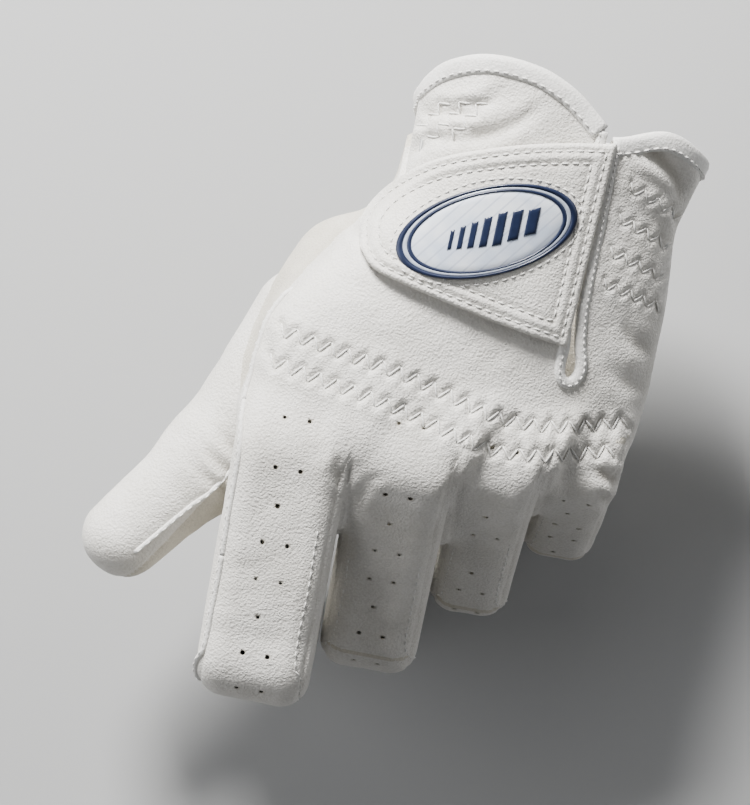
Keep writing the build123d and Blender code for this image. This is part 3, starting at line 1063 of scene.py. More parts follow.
def build_skin(leathers):
    """The glove's leather but for the thumb. Returns surfaces for placing what is sewn on it."""
    vertices, quads = skin(glove_field, (-40, -22, -66), (78, 130, 26), VOXEL, unstretch)
    vertices = settle(glove_field, vertices, quads)
    vertices = conform(vertices, side_seam, 0.45 * VOXEL)
    vertices = conform(vertices, cuff_field, 0.5 * VOXEL)
    vertices = conform(vertices, slit_field, 0.5 * VOXEL)
    normals = corner_normals(vertices, quads)
    upward = smoothstep(0.05, 0.45, normals[:, 2]) * (vertices[:, 2] > -22)
    relief = plan_relief(vertices[:, :2]) * upward
    seam = np.where(region_of(vertices) > 0, np.abs(side_seam(vertices)), 9.0)
    relief -= 0.28 * np.exp(-(seam / 0.5) ** 2)
    relief += 0.22 * value_noise(vertices, 9.0, 1) + 0.10 * value_noise(vertices, 3.6, 2)
    # the relief fades where fingers lie side by side
    beside = np.min([np.abs(vertices[:, 0] - x) for x in GAP_PLANES], axis=0)
    relief = np.where(region_of(vertices) > 0, relief * smoothstep(0.3, 1.8, beside), relief)
    # a point just inside the leather is always within its own finger
    within = (vertices - 0.8 * normals)[quads].mean(axis=1)
    region = region_of(within)
    # painted shade: darker where the relief sinks, in stitch grooves, seams and folds
    shade = np.clip(-relief * 0.9 - 0.12, 0, 0.75)
    vertices = vertices + normals * relief[:, None]
    for x in GAP_PLANES:
        side = np.sign(vertices[:, 0] - 0.8 * normals[:, 0] - x)
        close = (np.abs(vertices[:, 0] - x) < 0.8) & (np.abs(normals[:, 0]) > 0.7)
        clear = x + side * np.maximum(side * (vertices[:, 0] - x), SIDE_CLEAR)
        vertices[:, 0] = np.where(close, clear, vertices[:, 0])
    normals = corner_normals(vertices, quads)
    whole = Surface(vertices, quads)

    middles = vertices[quads].mean(axis=1)
    back = back_or_palm(middles, region) > 0
    panel = np.where(back, 0, 1)
    panel[(side_seam(middles, within) < 0) & (region > 0)] = 2
    keep = (cuff_field(middles) > 0) & (slit_field(middles) > 0)
    faces = [list(map(int, f)) for f in quads[keep]]
    tags = list(zip(region[keep].tolist(), panel[keep].tolist()))
    edge = ordered_edges(faces)[0]
    rim = (vertices[edge], normals[edge])
    vertices, normals, shade, faces, tags = punch(vertices, normals, shade, faces, tags,
                                                  hole_places(whole))

    groups = {}
    for face, tag in zip(faces, tags):
        groups.setdefault(tag, []).append(face)
    for (place, side), members in sorted(groups.items()):
        if place == 0 and side == 2:
            continue
        where, what = REGION_NAMES[place], PANELS[side]
        name = f"{what}_leather" if place == 0 else f"{where}_{what}_leather"
        material = leathers["palm" if what == "palm" else "back"]
        piece = leather_panel(name, vertices, normals, members, material, shade)
        attach(piece, place)
        node = f"{what}_panel" if place == 0 else f"{where}_{what}"
        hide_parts(node)
    return whole, rim


THUMB_SEAM = np.array((0.78, -0.40, 0.48))
THUMB_SEAM /= np.linalg.norm(THUMB_SEAM)


def thumb_side(points):
    """Above zero on the thumb's outer piece, below on its palm-side piece."""
    return (points - THUMB[1]) @ THUMB_SEAM


def build_thumb(leathers):
    vertices, quads = skin(thumb_field, (30, 28, -36), (92, 112, -2), VOXEL)
    vertices = settle(thumb_field, vertices, quads)
    vertices = conform(vertices, thumb_side, 0.45 * VOXEL)
    normals = corner_normals(vertices, quads)
    relief = -0.25 * np.exp(-(thumb_side(vertices) / 0.5) ** 2)
    relief += 0.25 * value_noise(vertices, 8.0, 5) + 0.10 * value_noise(vertices, 3.5, 6)
    along = (vertices - THUMB[0]) @ THUMB_ALONG
    for place, depth in THUMB_FOLDS:
        wave = along - place + 0.22 * (vertices[:, 0] - THUMB[1][0])
        relief -= depth * np.exp(-(wave / 1.5) ** 2) * smoothstep(-6, 4, thumb_side(vertices) * -1 + 5)
    # painted shade: darker where the relief sinks, in the seam's groove and the folds
    shade = np.clip(-relief * 0.7 - 0.1, 0, 0.7)
    vertices = vertices + normals * relief[:, None]
    normals = corner_normals(vertices, quads)
    middles = vertices[quads].mean(axis=1)
    outside = glove_field(middles) > -2.5
    outer = thumb_side(middles) > 0
    for name, chosen, tone in (("outer", outer, "back"), ("palm", ~outer, "palm")):
        members = [list(map(int, f)) for f in quads[chosen & outside]]
        piece = leather_panel(f"thumb_{name}_leather", vertices, normals, members, leathers[tone], shade)
        attach(piece, THUMB_REGION)
        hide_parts(f"thumb_{name}")
    return Surface(vertices, quads)


THUMB_FOLDS = [(11.0, 0.9), (16.5, 0.8), (29.0, 0.8), (34.0, 1.0), (38.5, 0.7)]


# ---- camera, light and floor ---------------------------------------------------------------------
VIEW_RIGHT = Vector((-0.983, -0.182, 0)).normalized()
VIEW_CENTRE = Vector((0.0283, 0.0587, 0))
VIEW_HEIGHT = 0.6
LENS = 128.6


def build_stage(lowest):
    up = Vector((0, 0, 1)).cross(VIEW_RIGHT)
    camera = bpy.data.objects.new("camera", bpy.data.cameras.new("camera"))
    camera.data.lens = LENS
    camera.data.sensor_width = 36
    rotation = Matrix((VIEW_RIGHT, up, (0, 0, 1))).transposed().to_4x4()
    camera.matrix_world = Matrix.Translation(VIEW_CENTRE + Vector((0, 0, VIEW_HEIGHT))) @ rotation
    bpy.context.scene.collection.objects.link(camera)
    bpy.context.scene.camera = camera

    size = 2.4
    mesh = bpy.data.meshes.new("floor")
    mesh.from_pydata([(-size, -size, lowest), (size, -size, lowest), (size, size, lowest),
                      (-size, size, lowest)], [], [(0, 1, 2, 3)])
    mesh.materials.append(floor_material())
    floor = bpy.data.objects.new("floor", mesh)
    bpy.context.scene.collection.objects.link(floor)

    def lamp(name, direction, distance, size, watts, color=(1, 1, 1)):
        light = bpy.data.lights.new(name, "AREA")
        light.energy, light.size, light.color = watts, size, color
        holder = bpy.data.objects.new(name, light)
        direction = Vector(direction).normalized()
        holder.location = VIEW_CENTRE + direction * distance
        holder.rotation_euler = direction.to_track_quat("Z", "Y").to_euler()
        bpy.context.scene.collection.objects.link(holder)

    left = -VIEW_RIGHT
    lamp("key_light", up * 1.0 + left * 0.28 + Vector((0, 0, 0.68)), 0.75, 0.22, 24.0,
         (1.0, 0.985, 0.96))
    lamp("fill_light", left * 1.0 + up * 0.1 + Vector((0, 0, 0.6)), 0.9, 0.6, 3.4)
    lamp("far_light", VIEW_RIGHT * 0.9 + up * 0.2 + Vector((0, 0, 0.6)), 0.9, 0.6, 1.6)
    world = bpy.data.worlds.new("studio")
    world.use_nodes = True
    world.node_tree.nodes["Background"].inputs["Color"].default_value = (0.9, 0.92, 0.95, 1)
    world.node_tree.nodes["Background"].inputs["Strength"].default_value = 0.10
    bpy.context.scene.world = world


# ---- the cuff's and the slit's bindings ----------------------------------------------------------
def folded_section(width, rise, wrap):
    """Outline of a leather strip folded over an edge: x runs out past the edge, y up off the skin."""
    inside = -LEATHER - rise
    points = [(-width, 0.0), (-width + 0.15, rise * 0.75), (-width + 0.7, rise), (-0.5, rise + 0.12)]
    centre, radius = (rise + inside) / 2, (rise - inside) / 2
    for angle in np.radians((60, 30, 0, -30, -60)):
        points.append((wrap * math.cos(angle), centre + radius * math.sin(angle)))
    points += [(-0.5, inside), (-width + 0.6, inside), (-width, inside + 0.3), (-width, -LEATHER)]
    return points


def tidy_line(points, normals, spacing, rounds):
    """A smooth, evenly spaced copy of a line along the skin's edge, with its normals."""
    joined = even_out(np.concatenate([points, normals], axis=1), rounds)
    along = np.concatenate([[0], np.cumsum(np.linalg.norm(np.diff(joined[:, :3], axis=0), axis=1))])
    where = np.linspace(0, along[-1], int(along[-1] / spacing))
    joined = np.stack([np.interp(where, along, joined[:, i]) for i in range(6)], axis=1)
    joined = even_out(joined, 3)
    return joined[:, :3], unit(joined[:, 3:])


def build_bindings(rim, leather, sewing):
    """The folded strips along the cuff and round the slit, from the skin's open edge."""
    points, normals = rim
    on_slit = (slit_field(points) < cuff_field(points)) & (points[:, 2] > 0)
    on_slit &= np.abs(points[:, 0] - SLIT_END[0]) < 6
    starts = np.flatnonzero(on_slit & ~np.roll(on_slit, 1))
    turned = [np.roll(on_slit, -first) for first in starts]
    counts = [int(np.argmin(run)) for run in turned]
    count, first = max(counts), starts[int(np.argmax(counts))]
    points, normals = np.roll(points, -first, 0), np.roll(normals, -first, 0)
    slit = tidy_line(points[:count], normals[:count], 0.8, 6)
    cuff = tidy_line(points[count:], normals[count:], 1.2, 14)
    for name, (line, up), width, slot_node in (
            ("cuff_binding_strip", cuff, CUFF_BINDING, "cuff_binding"),
            ("slit_binding_strip", slit, SLIT_BINDING, "slit_binding")):
        # the section's x runs out past the edge whichever way the line goes
        across = np.cross(unit(np.gradient(line, axis=0)), up)
        sign = np.sign(np.mean(np.einsum("ij,ij->i", across, edge_outward(line))))
        section = np.array(folded_section(width, BINDING_RISE, 0.75))
        if sign < 0:
            section[:, 0] *= -1
            section = section[::-1]
        piece = tube(name, line, up, section, leather)
        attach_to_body(piece, "hand")
        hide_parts(slot_node)
        seam = line - sign * across * (width - 0.75) + up * (BINDING_RISE + 0.02)
        pitch = 2.0 if name.startswith("cuff") else 1.5
        stitches = row_of_stitches(seam, up, pitch, pitch * 0.62)
        sewing.add(name.replace("_strip", "_stitches"), stitches, 0.2, 0)
    return cuff, slit


def edge_outward(line):
    """Roughly the direction away from the glove's leather along its open edge."""
    step = 0.4
    result = np.zeros_like(line)
    for axis in (0, 1):
        offset = np.zeros(3)
        offset[axis] = step
        ahead = np.minimum(cuff_field(line + offset), slit_field(line + offset))
        behind = np.minimum(cuff_field(line - offset), slit_field(line - offset))
        result[:, axis] = behind - ahead
    return unit(result)


CUFF_BINDING, SLIT_BINDING, BINDING_RISE = 3.3, 1.7, 0.55


def build_zigzags(surface, sewing):
    """The zigzag stitching that gathers the back and the cuff."""
    rows = [("knuckle_zigzag", r, ZIGZAG_PITCH, ZIGZAG_HEIGHT, 0.24) for r in KNUCKLE_ROWS]
    rows += [("cuff_zigzag", r, CUFF_PITCH, CUFF_HEIGHT, 0.2) for r in CUFF_ROWS]
    for label, route, pitch, tall, radius in rows:
        corners = zigzag(route, pitch, tall)
        stitches = []
        for a, b in zip(corners, corners[1:]):
            points, normals, hit = surface.drop([a + (b - a) * t for t in (0.06, 0.3, 0.5, 0.7, 0.94)])
            if not hit.all() or normals[:, 2].min() < 0.1:
                continue
            if slit_field(points[:1])[0] < 2.0 or cuff_field(points[:1])[0] < 3.0:
                continue
            up = unit(normals.mean(axis=0))
            clear = max(0.1, np.max((points - np.linspace(points[0], points[-1], 5)) @ up) - 0.05)
            stitches.append((points[0] + up * clear, points[-1] + up * clear, up))
        sewing.add(label, stitches, radius)


# ---- the closure tab -----------------------------------------------------------------------------
TAB_ROOT = [(-10.3, -1.6), (-9.6, 12.0), (-9.0, 26.0), (-8.3, 40.6)]
TAB_LOWER = [(-8.3, 40.6), (2.5, 39.0), (14.4, 36.8), (27.0, 34.0), (33.6, 31.9), (37.3, 27.8)]
TAB_UPPER = [(-10.3, -1.6), (1.5, 0.5), (14.1, 3.8), (25.5, 8.0), (34.2, 14.2), (38.0, 21.0),
             (37.3, 27.8)]
TAB_LIFT, TAB_THICK = 1.35, 1.35
TAB_EDGE = 0.9
STITCH_INSETS = (1.6, 4.1)


def tab_grid(inset, columns, rows):
    """Plan points over the tab, inset from its edge, as columns from the root to the tip."""
    lower, upper = through(TAB_LOWER, 0.4), through(TAB_UPPER, 0.4)
    middle = (lower[0] + upper[0]) / 2
    middle = middle + (np.array((12.5, 20.0)) - middle) * 0.9
    count = columns
    s = 0.5 - 0.5 * np.cos(np.linspace(0, math.pi, count))
    s = 0.35 * s + 0.65 * np.linspace(0, 1, count)

    def sample(line):
        along = np.concatenate([[0], np.cumsum(np.linalg.norm(np.diff(line, axis=0), axis=1))])
        return np.stack([np.interp(s * along[-1], along, line[:, i]) for i in (0, 1)], axis=1)

    low, high = sample(lower), sample(upper)
    t = np.linspace(0, 1, rows)[None, :, None]
    grid = low[:, None] * (1 - t) + high[:, None] * t
    if inset:
        width = np.ptp(grid.reshape(-1, 2), axis=0)
        grid = middle + (grid - middle) * (1 - 2 * inset / width)
    return grid


def tab_outline():
    """The tab's closed plan outline."""
    lower, upper, root = (through(line, 0.4) for line in (TAB_LOWER, TAB_UPPER, TAB_ROOT))
    return np.concatenate([root[:-1], lower[:-1], upper[:0:-1]])


def grid_rim(columns, rows):
    """The points round the rim of a grid whose points are numbered column by column, in order."""
    rim = [i * rows for i in range(columns)]
    rim += [(columns - 1) * rows + j for j in range(1, rows)]
    rim += [i * rows + rows - 1 for i in range(columns - 2, -1, -1)]
    return rim + list(range(rows - 2, 0, -1))


def pad_mesh(grid, heights, thick):
    """Vertices and faces of a closed pad over a grid of plan points: heights of its top, and its
    thickness at each point."""
    columns, rows = heights.shape
    top = np.concatenate([grid, heights[..., None]], axis=2).reshape(-1, 3)
    bottom = np.concatenate([grid, (heights - thick)[..., None]], axis=2).reshape(-1, 3)
    count = len(top)
    faces = []
    for i in range(columns - 1):
        for j in range(rows - 1):
            a, b, c, d = i * rows + j, (i + 1) * rows + j, (i + 1) * rows + j + 1, i * rows + j + 1
            faces.append([a, d, c, b])
            faces.append([count + a, count + b, count + c, count + d])
    rim = grid_rim(columns, rows)
    for a, b in zip(rim, rim[1:] + rim[:1]):
        faces.append([a, b, b + count, a + count])
    return np.concatenate([top, bottom]), faces


def smooth_grid(values, rounds):
    for _ in range(rounds):
        padded = np.pad(values, 1, mode="edge")
        values = (padded[:-2, 1:-1] + padded[2:, 1:-1] + padded[1:-1, :-2] + padded[1:-1, 2:]
                  + 4 * values) / 8
    return values


def build_tab(surface, leather, sewing):
    grid = tab_grid(0.0, 96, 72)
    flat = grid.reshape(-1, 2)
    below, _, _ = surface.drop(flat)
    base = smooth_grid(below[:, 2].reshape(grid.shape[:2]), 40)
    base = np.maximum(base, below[:, 2].reshape(base.shape) - 0.3)
    lift = 0.75 + (TAB_LIFT - 0.75) * smoothstep(-9.0, 0.0, grid[..., 0])
    edge = distance_to(tab_outline(), flat).reshape(base.shape)
    crown = np.sqrt(np.clip(1 - (1 - np.minimum(edge / TAB_EDGE, 1)) ** 2, 0, 1))
    relief = np.zeros_like(edge)
    for inset in STITCH_INSETS:
        relief -= 0.28 * np.exp(-((edge - inset) / 0.5) ** 2)
    relief += 0.22 * np.exp(-((edge - sum(STITCH_INSETS) / 2) / 0.8) ** 2)
    lumps = 0.16 * value_noise(np.column_stack([flat, flat[:, :1] * 0]), 9.0, 11).reshape(base.shape)
    thick = TAB_THICK * (0.28 + 0.72 * crown)
    heights = base + lift + thick + relief + lumps
    vertices, faces = pad_mesh(grid, heights, thick + relief)
    # painted shade: darker in the stitch grooves, and a fixed painted shade over the tab's underside
    shade = np.concatenate([np.clip(-relief * 0.8, 0, 0.6).ravel(), np.full(len(flat), 0.2)])
    piece = make_object("closure_tab_leather", vertices, faces, leather, shade=shade)
    [tuple(np.array(p) * MM) for p in TAB_BLEND]
    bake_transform(piece)
    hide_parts("closure_tab")
    top = Surface(vertices, faces)

    outline = tab_outline()
    for inset in STITCH_INSETS:
        line = inset_line(outline, inset)
        points, normals, hit = top.drop(line)
        stitches = row_of_stitches(points[hit] + normals[hit] * 0.05, even_out(normals[hit], 4),
                                   2.15, 1.45)
        near = [s for s in stitches if s[0][0] < TAB_BLEND[1][0]]
        far = [s for s in stitches if s[0][0] >= TAB_BLEND[1][0]]
        sewing.add("tab_root_stitches", near, 0.2, "tab_root")
        sewing.add("tab_stitches", far, 0.2, "tab")
    return top


TAB_BLEND = ((-9.6, 20.0, 15.0), (-4.0, 20.0, 15.0))


def inset_line(outline, inset):
    """A closed line inside a closed outline, that far from it, without loops at its corners."""
    line = even(np.concatenate([outline, outline[:1]]), 0.5)[:-1]
    direction = unit(np.roll(line, -1, 0) - np.roll(line, 1, 0))
    inward = np.stack([-direction[:, 1], direction[:, 0]], axis=1)
    area = np.sum(line[:, 0] * np.roll(line[:, 1], -1) - line[:, 1] * np.roll(line[:, 0], -1))
    moved = line + inward * (inset if area > 0 else -inset)
    moved = moved[distance_to(np.concatenate([line, line[:1]]), moved) > inset * 0.97]
    return even_out(np.concatenate([moved, moved[:1]]), 3)


# ---- the badge -----------------------------------------------------------------------------------
BADGE_CENTRE = np.array((12.3, 20.6))
BADGE_HALF = np.array((18.6, 8.9))
BADGE_TURN = math.radians(23)
BADGE_SIDES = 112  # points round each of its rings


def badge_place(radius, angle):
    """Plan points of the badge: radius is 1 at its rim."""
    x, y = BADGE_HALF[0] * radius * np.cos(angle), BADGE_HALF[1] * radius * np.sin(angle)
    turned = np.stack([x * math.cos(BADGE_TURN) - y * math.sin(BADGE_TURN),
                       x * math.sin(BADGE_TURN) + y * math.cos(BADGE_TURN)], axis=-1)
    return BADGE_CENTRE + turned


def badge_sheet(top, fit, name, profile, material):
    """A moulded sheet on the tab: profile holds (radius, height) from the middle to the rim."""
    angles = np.linspace(0, 2 * math.pi, BADGE_SIDES, endpoint=False)
    vertices, faces = [], []
    closed_middle = profile[0][0] == 0
    for radius, height in profile:
        plan = badge_place(np.full(BADGE_SIDES, max(radius, 0.004)), angles)
        points, _, _ = top.drop(plan)
        points[:, 2] = badge_plane(fit, points[:, 0], points[:, 1]) + height
        vertices.append(points)
    rings = len(vertices)
    for ring in range(rings - 1):
        for k in range(BADGE_SIDES):
            m = (k + 1) % BADGE_SIDES
            a, b = ring * BADGE_SIDES, (ring + 1) * BADGE_SIDES
            faces.append([a + k, b + k, b + m, a + m])
    if closed_middle:
        faces.append(list(range(BADGE_SIDES)))
        last = (rings - 1) * BADGE_SIDES
        faces.append([last + k for k in range(BADGE_SIDES)][::-1])
    else:
        last = (rings - 1) * BADGE_SIDES
        for k in range(BADGE_SIDES):
            m = (k + 1) % BADGE_SIDES
            faces.append([last + k, k, m, last + m])
    piece = make_object(name, np.concatenate(vertices), faces, material)
    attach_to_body(piece, "tab")
    return piece


def badge_plane(a, x, y):
    """Height of the smooth surface that the badge is moulded on."""
    return a[0] + a[1] * x + a[2] * y + a[3] * x * x + a[4] * x * y + a[5] * y * y


def fit_badge(top):
    """Coefficients of the smooth surface that lies nearest to the tab under the badge."""
    angles = np.linspace(0, 2 * math.pi, 40, endpoint=False)
    plan = np.concatenate([badge_place(np.full(40, r), angles) for r in (0.2, 0.5, 0.8, 1.0)])
    points, _, _ = top.drop(plan)
    x, y = points[:, 0], points[:, 1]
    terms = np.stack([np.ones_like(x), x, y, x * x, x * y, y * y], axis=1)
    return np.linalg.lstsq(terms, points[:, 2], rcond=None)[0]


BAR_SLANT = 0.45  # of the badge's bars, sideways for each step up
BADGE_STITCH_GAP = 1.35  # from the badge's rim to the ring of stitches round it


def build_badge(top, sewing):
    fit = fit_badge(top)
    face = [(0.0, 0.62), (0.25, 0.61), (0.5, 0.58), (0.7, 0.54), (0.83, 0.50), (0.845, 0.40),
            (0.845, -0.3)]
    piece = badge_sheet(top, fit, "badge_enamel_face", face, badge_material())
    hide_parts("badge_face")
    dark = rim_material("badge_rim_navy", (0.012, 0.02, 0.055))
    pale = rim_material("badge_rim_silver", (0.52, 0.58, 0.70))
    outer = [(0.935, -0.3), (0.935, 0.55), (0.95, 0.80), (0.975, 0.86), (1.0, 0.74), (1.012, 0.45),
             (1.012, -0.3)]
    piece = badge_sheet(top, fit, "badge_outer_rim", outer, dark)
    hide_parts("badge_rim")
    middle = [(0.885, -0.3), (0.885, 0.60), (0.90, 0.68), (0.925, 0.66), (0.937, 0.5), (0.937, -0.3)]
    badge_sheet(top, fit, "badge_silver_band", middle, pale)
    inner = [(0.84, -0.3), (0.84, 0.52), (0.85, 0.70), (0.87, 0.74), (0.888, 0.66), (0.888, -0.3)]
    badge_sheet(top, fit, "badge_inner_rim", inner, dark)
    build_badge_bars(fit, dark)

    rim = badge_place(1.0, np.linspace(0, 2 * math.pi, 240, endpoint=False))
    plan = rim + unit(rim - BADGE_CENTRE) * BADGE_STITCH_GAP
    points, normals, hit = top.drop(plan)
    stitches = row_of_stitches(points[hit], normals[hit], 1.9, 1.25, closed=True)
    sewing.add("badge_stitches", stitches, 0.18, "tab")


def build_badge_bars(fit, material):
    """Plain slanting bars across the badge, from broad to narrow, in place of any lettering."""
    vertices, faces = [], []
    x = -10.6
    for number in range(7):
        width = 2.5 - 0.28 * number
        tall = 3.1 - 0.32 * abs(number - 2.0)
        columns, rows = 5, 9
        base = len(vertices)
        for layer, (grow, lift) in enumerate(((0.0, 0.45), (0.0, 0.70), (-0.18, 0.82))):
            for i in range(columns):
                for j in range(rows):
                    v = (2 * j / (rows - 1) - 1) * (tall + grow)
                    u = x + grow * -0.5 + (width + grow) * i / (columns - 1) + v * BAR_SLANT
                    place = BADGE_CENTRE + np.array((
                        u * math.cos(BADGE_TURN) - v * math.sin(BADGE_TURN),
                        u * math.sin(BADGE_TURN) + v * math.cos(BADGE_TURN)))
                    vertices.append((*place, badge_plane(fit, *place) + lift))
        layer_size = columns * rows
        for i in range(columns - 1):
            for j in range(rows - 1):
                a, b, c, d = (i * rows + j, (i + 1) * rows + j, (i + 1) * rows + j + 1, i * rows + j + 1)
                faces.append([base + 2 * layer_size + v for v in (a, b, c, d)])
                faces.append([base + v for v in (a, d, c, b)])
        rim = grid_rim(columns, rows)
        for layer in (0, 1):
            low, high = base + layer * layer_size, base + (layer + 1) * layer_size
            for a, b in zip(rim, rim[1:] + rim[:1]):
                faces.append([low + a, low + b, high + b, high + a])
        x += width + 1.15
    piece = make_object("badge_bars", vertices, faces, material)
    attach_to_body(piece, "tab")


# ---- hook and loop, and the elastic inside -------------------------------------------------------
def patch(surface, name, grid, low, high, material, body, node, lumps=0.0):
    """A flat strip that follows a surface, from one height off it to another."""
    flat = grid.reshape(-1, 2)
    points, _, _ = surface.drop(flat)
    base = smooth_grid(points[:, 2].reshape(grid.shape[:2]), 6)
    rough = lumps * value_noise(np.column_stack([flat, flat[:, :1] * 0]), 1.3, 21).reshape(base.shape)
    vertices, faces = pad_mesh(grid, base + high + rough, high - low + rough)
    piece = make_object(name, vertices, faces, material)
    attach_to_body(piece, body)
    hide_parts(node)
    return piece


def rounded_grid(x_low, x_high, y_low, y_high, step=1.2):
    xs = np.linspace(x_low, x_high, max(3, int((x_high - x_low) / step)))
    ys = np.linspace(y_low, y_high, max(3, int((y_high - y_low) / step)))
    grid = np.stack(np.meshgrid(xs, ys, indexing="ij"), axis=2)
    centre = np.array(((x_low + x_high) / 2, (y_low + y_high) / 2))
    offset = (grid - centre) / (np.array((x_high - x_low, y_high - y_low)) / 2)
    squeeze = 1 - 0.05 * (offset ** 2).prod(axis=2, keepdims=True)
    return centre + (grid - centre) * squeeze


def build_patches(surface):
    inner = tab_grid(7.0, 40, 30)
    inner = inner[(inner[:, 0, 0] > -3.0)]
    patch(surface, "loop_pile_patch", inner, -0.1, 0.55, loop_material(), "hand", "loop_patch",
          0.12)
    hooks = tab_grid(9.0, 40, 30)
    hooks = hooks[(hooks[:, 0, 0] > -1.0)]
    patch(surface, "hook_tape_patch", hooks, 0.75, TAB_LIFT + 0.2, hook_material(), "tab", "hook_patch",
          0.05)


def build_elastics(surface):
    """Knitted strips sewn inside the leather: under the knuckle rows and inside the cuff."""
    knit = elastic_material()
    for name, grids, node in (
            ("knuckle_elastic_strip", [rounded_grid(-3.5, 46.0, 50.0, 57.0)], "knuckle_elastic"),
            ("wrist_elastic_strip",
             [rounded_grid(15.5, 29.0, 0.5, 7.5), rounded_grid(-25.5, -14.0, 7.0, 27.0)],
             "wrist_elastic")):
        for number, grid in enumerate(grids):
            label = name if len(grids) == 1 else f"{name}_{number + 1}"
            patch(surface, label, grid, -1.75, -1.05, knit, "hand", node)


# ---- finger and thumb seams ----------------------------------------------------------------------
def seam_guess(finger, place, side, turn_in=0.29):
    """A point on the finger's corner at a place along its chain: side is 1 towards the thumb."""
    bone = min(int(place), 2)
    turn, length = finger["turns"][bone], finger["bones"][bone]
    centre = step_along(joint_centres(finger)[bone], turn, (place - bone) * length)
    radius = np.interp(place, range(4), finger["radii"])
    edge = finger["radii"][1] * 0.62
    angle = math.radians(turn)
    out = (radius - turn_in * edge)
    across = finger["half"] - turn_in * edge
    return np.array((finger["x"] + side * across, centre[0] + math.sin(angle) * out,
                     centre[1] + math.cos(angle) * out))


def corner_line(finger, surface, side, start, stop, step=0.02, start_points=()):
    """A line along the finger's back corner, on the skin, with its normals."""
    guesses = [np.array(p, float) for p in start_points]
    guesses += [seam_guess(finger, p, side) for p in np.arange(start, stop, step)]
    guesses = even_out(even(np.array(guesses), 0.8), 10)
    points, normals = surface.nearest(guesses)
    return even_out(points, 3), unit(even_out(normals, 8))


def split_by_region(points, normals):
    """A line's stretches that lie on one region of the skin, each with its region."""
    regions = region_of(points)
    start = 0
    for i in range(1, len(points) + 1):
        if i == len(points) or regions[i] != regions[start]:
            stop = min(i + 1, len(points))
            if stop - start > 2:
                yield int(regions[start]), points[start:stop], normals[start:stop]
            start = i


WELT = oval(0.62, 0.62, 8, 0.18)
INDEX_SEAM_START = [(51.0, 36.5, 6.0), (53.6, 43.0, 6.5), (54.6, 52.0, 6.8), (54.6, 61.0, 6.8)]


def build_seams(surface, thumb, leather, sewing):
    """The raised welt along the index finger, the stitched fold edges, and the thumb's seam."""
    index = FINGERS["index"]
    points, normals = corner_line(index, surface, 1, 0.0, 2.7, start_points=INDEX_SEAM_START)
    # the welt's ends sink into the leather
    points[:3] -= normals[:3] * np.array([[1.1], [0.7], [0.3]])
    points[-3:] -= normals[-3:] * np.array([[0.3], [0.7], [1.1]])
    for place, line, up in split_by_region(points, normals):
        piece = tube(f"index_welt_{REGION_NAMES[place]}", line, up, WELT, leather)
        attach(piece, place)
    sewing.add("index_welt_stitches", row_of_stitches(points + normals * 0.72, normals, 2.3, 1.3), 0.17)
    for name, side, start, inset in (("index", -1, 0.30, 2.9), ("middle", 1, 0.45, 2.3),
                                     ("middle", -1, 0.42, 2.3), ("ring", 1, 0.45, 2.1),
                                     ("ring", -1, 0.38, 2.1), ("little", 1, 0.45, 2.0)):
        finger = FINGERS[name]
        points, normals = corner_line(finger, surface, side, start, 1.9)
        points[:, 0] -= side * inset
        points, normals = surface.nearest(points + normals * 0.5)
        normals = unit(even_out(normals, 4))
        stitches = row_of_stitches(points + normals * 0.05, normals, 2.2, 1.4)
        sewing.add(f"{name}_edge_stitches", stitches, 0.17)
    along = unit(THUMB[2] - THUMB[0])
    for side, label in ((1, "palm"), (-1, "back")):
        direction = unit(np.cross(along, THUMB_SEAM)) * side
        guesses = []
        for t in np.linspace(0.30, 1.0, 46):
            centre = THUMB[0] + (THUMB[1] - THUMB[0]) * min(1, t / 0.6)
            centre = centre + (THUMB[2] - THUMB[1]) * max(0, (t - 0.6) / 0.4)
            guesses.append(centre + direction * 9.5)
        points, normals = thumb.nearest(even_out(np.array(guesses), 6))
        outside = glove_field(points) > 0.3
        points, normals = even_out(points[outside], 3), unit(even_out(normals[outside], 6))
        piece = tube(f"thumb_welt_{label}", points, normals, oval(0.5, 0.5, 8, 0.12), leather)
        attach(piece, THUMB_REGION)
        sewing.add(f"thumb_{label}_stitches", row_of_stitches(points + normals * 0.6, normals, 2.3, 1.3),
                   0.16, THUMB_REGION)


# ---- the side walls between the fingers' roots ---------------------------------------------------
def build_side_walls(leathers):
    """The fingers' own side walls where neighbouring fingers touch, from the knuckles to the webs."""
    names = list(FINGERS)
    for number, name in enumerate(names):
        for gap, side in ((number - 1, 1), (number, -1)):
            if 0 <= gap < len(GAP_PLANES):
                build_side_wall(name, number, GAP_PLANES[gap] - side * 0.2, side, WEB_LENGTHS[gap],
                                leathers)


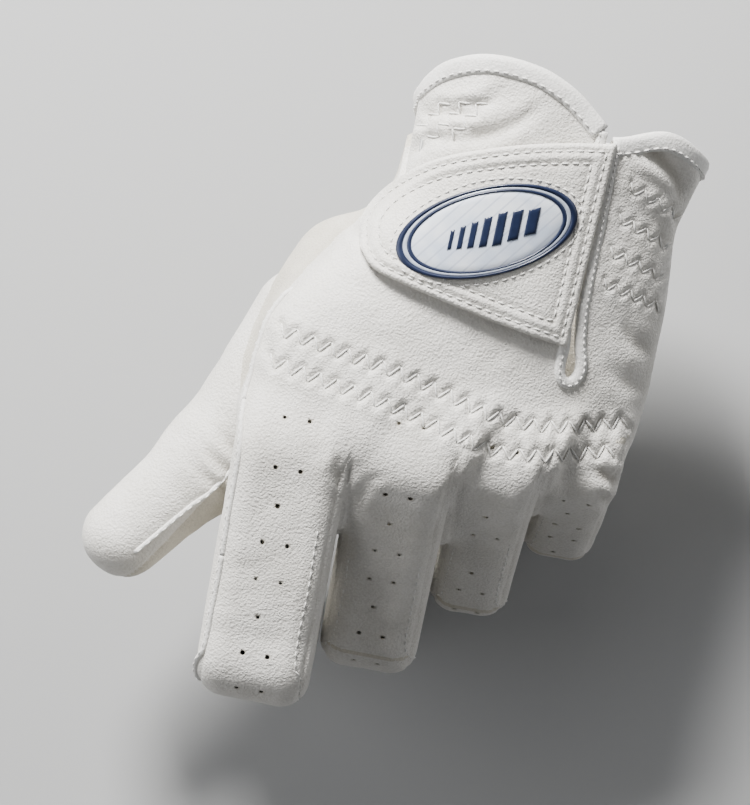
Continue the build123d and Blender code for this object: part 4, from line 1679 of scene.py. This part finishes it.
def build_side_wall(name, number, x, side, reach, leathers):
    finger = FINGERS[name]
    start, turn = joint_centres(finger)[0], finger["turns"][0]
    angle = math.radians(turn)
    rows, steps = 9, np.arange(-20.0, 20.01, 0.4)
    columns = []
    for s in np.arange(-0.5, reach + 4.0, 1.0):
        centre = step_along(start, turn, s)
        line = np.stack([np.full(len(steps), x), centre[0] + math.sin(angle) * steps,
                         centre[1] + math.cos(angle) * steps], axis=1)
        inside = np.flatnonzero(glove_field(line) < -0.25)
        if len(inside) < 6:
            break
        places = np.linspace(steps[inside[0]], steps[inside[-1]], rows)
        columns.append([(x, centre[0] + math.sin(angle) * t, centre[1] + math.cos(angle) * t)
                        for t in places])
    if len(columns) < 3:
        return
    grid = np.array(columns)
    count, vertices, faces = len(columns), [], []
    for layer in (0, 1):
        moved = grid.reshape(-1, 3).copy()
        moved[:, 0] -= side * LEATHER * layer
        vertices.append(moved)
    size = count * rows
    for i in range(count - 1):
        for j in range(rows - 1):
            a, b, c, d = i * rows + j, (i + 1) * rows + j, (i + 1) * rows + j + 1, i * rows + j + 1
            faces += [[a, b, c, d], [size + a, size + d, size + c, size + b]]
    rim = grid_rim(count, rows)
    for a, b in zip(rim, rim[1:] + rim[:1]):
        faces.append([b, a, size + a, size + b])
    if side < 0:
        faces = [face[::-1] for face in faces]
    where = "thumb" if side > 0 else "little"
    piece = make_object(f"{name}_root_wall_{where}_side", np.concatenate(vertices), faces,
                        leathers["back"])
    attach(piece, 2 * number + 1)


def main():
    cad_box = [list(map(float, corner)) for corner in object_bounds()]
    leathers = {
        "back": leather_material("white_leather", (0.80, 0.782, 0.745), (0.73, 0.71, 0.665)),
        # the palm side's darker beige is partly the palm leather's own tan and partly painted shade for
        # the side that faces away from the light
        "palm": leather_material("palm_leather", (0.68, 0.645, 0.565), (0.60, 0.565, 0.485)),
    }
    binding = leather_material("binding_leather", (0.84, 0.835, 0.815), (0.77, 0.76, 0.74),
                               depth=0.00005)
    surface, rim = build_skin(leathers)
    thumb = build_thumb(leathers)
    sewing = Sewing(thread_material())
    build_bindings(rim, binding, sewing)
    build_zigzags(surface, sewing)
    top = build_tab(surface, leathers["back"], sewing)
    build_badge(top, sewing)
    build_patches(surface)
    build_elastics(surface)
    build_side_walls(leathers)
    build_seams(surface, thumb, binding, sewing)
    sewing.finish()
    build_stage(cad_box[0][2] - 0.003)


main()
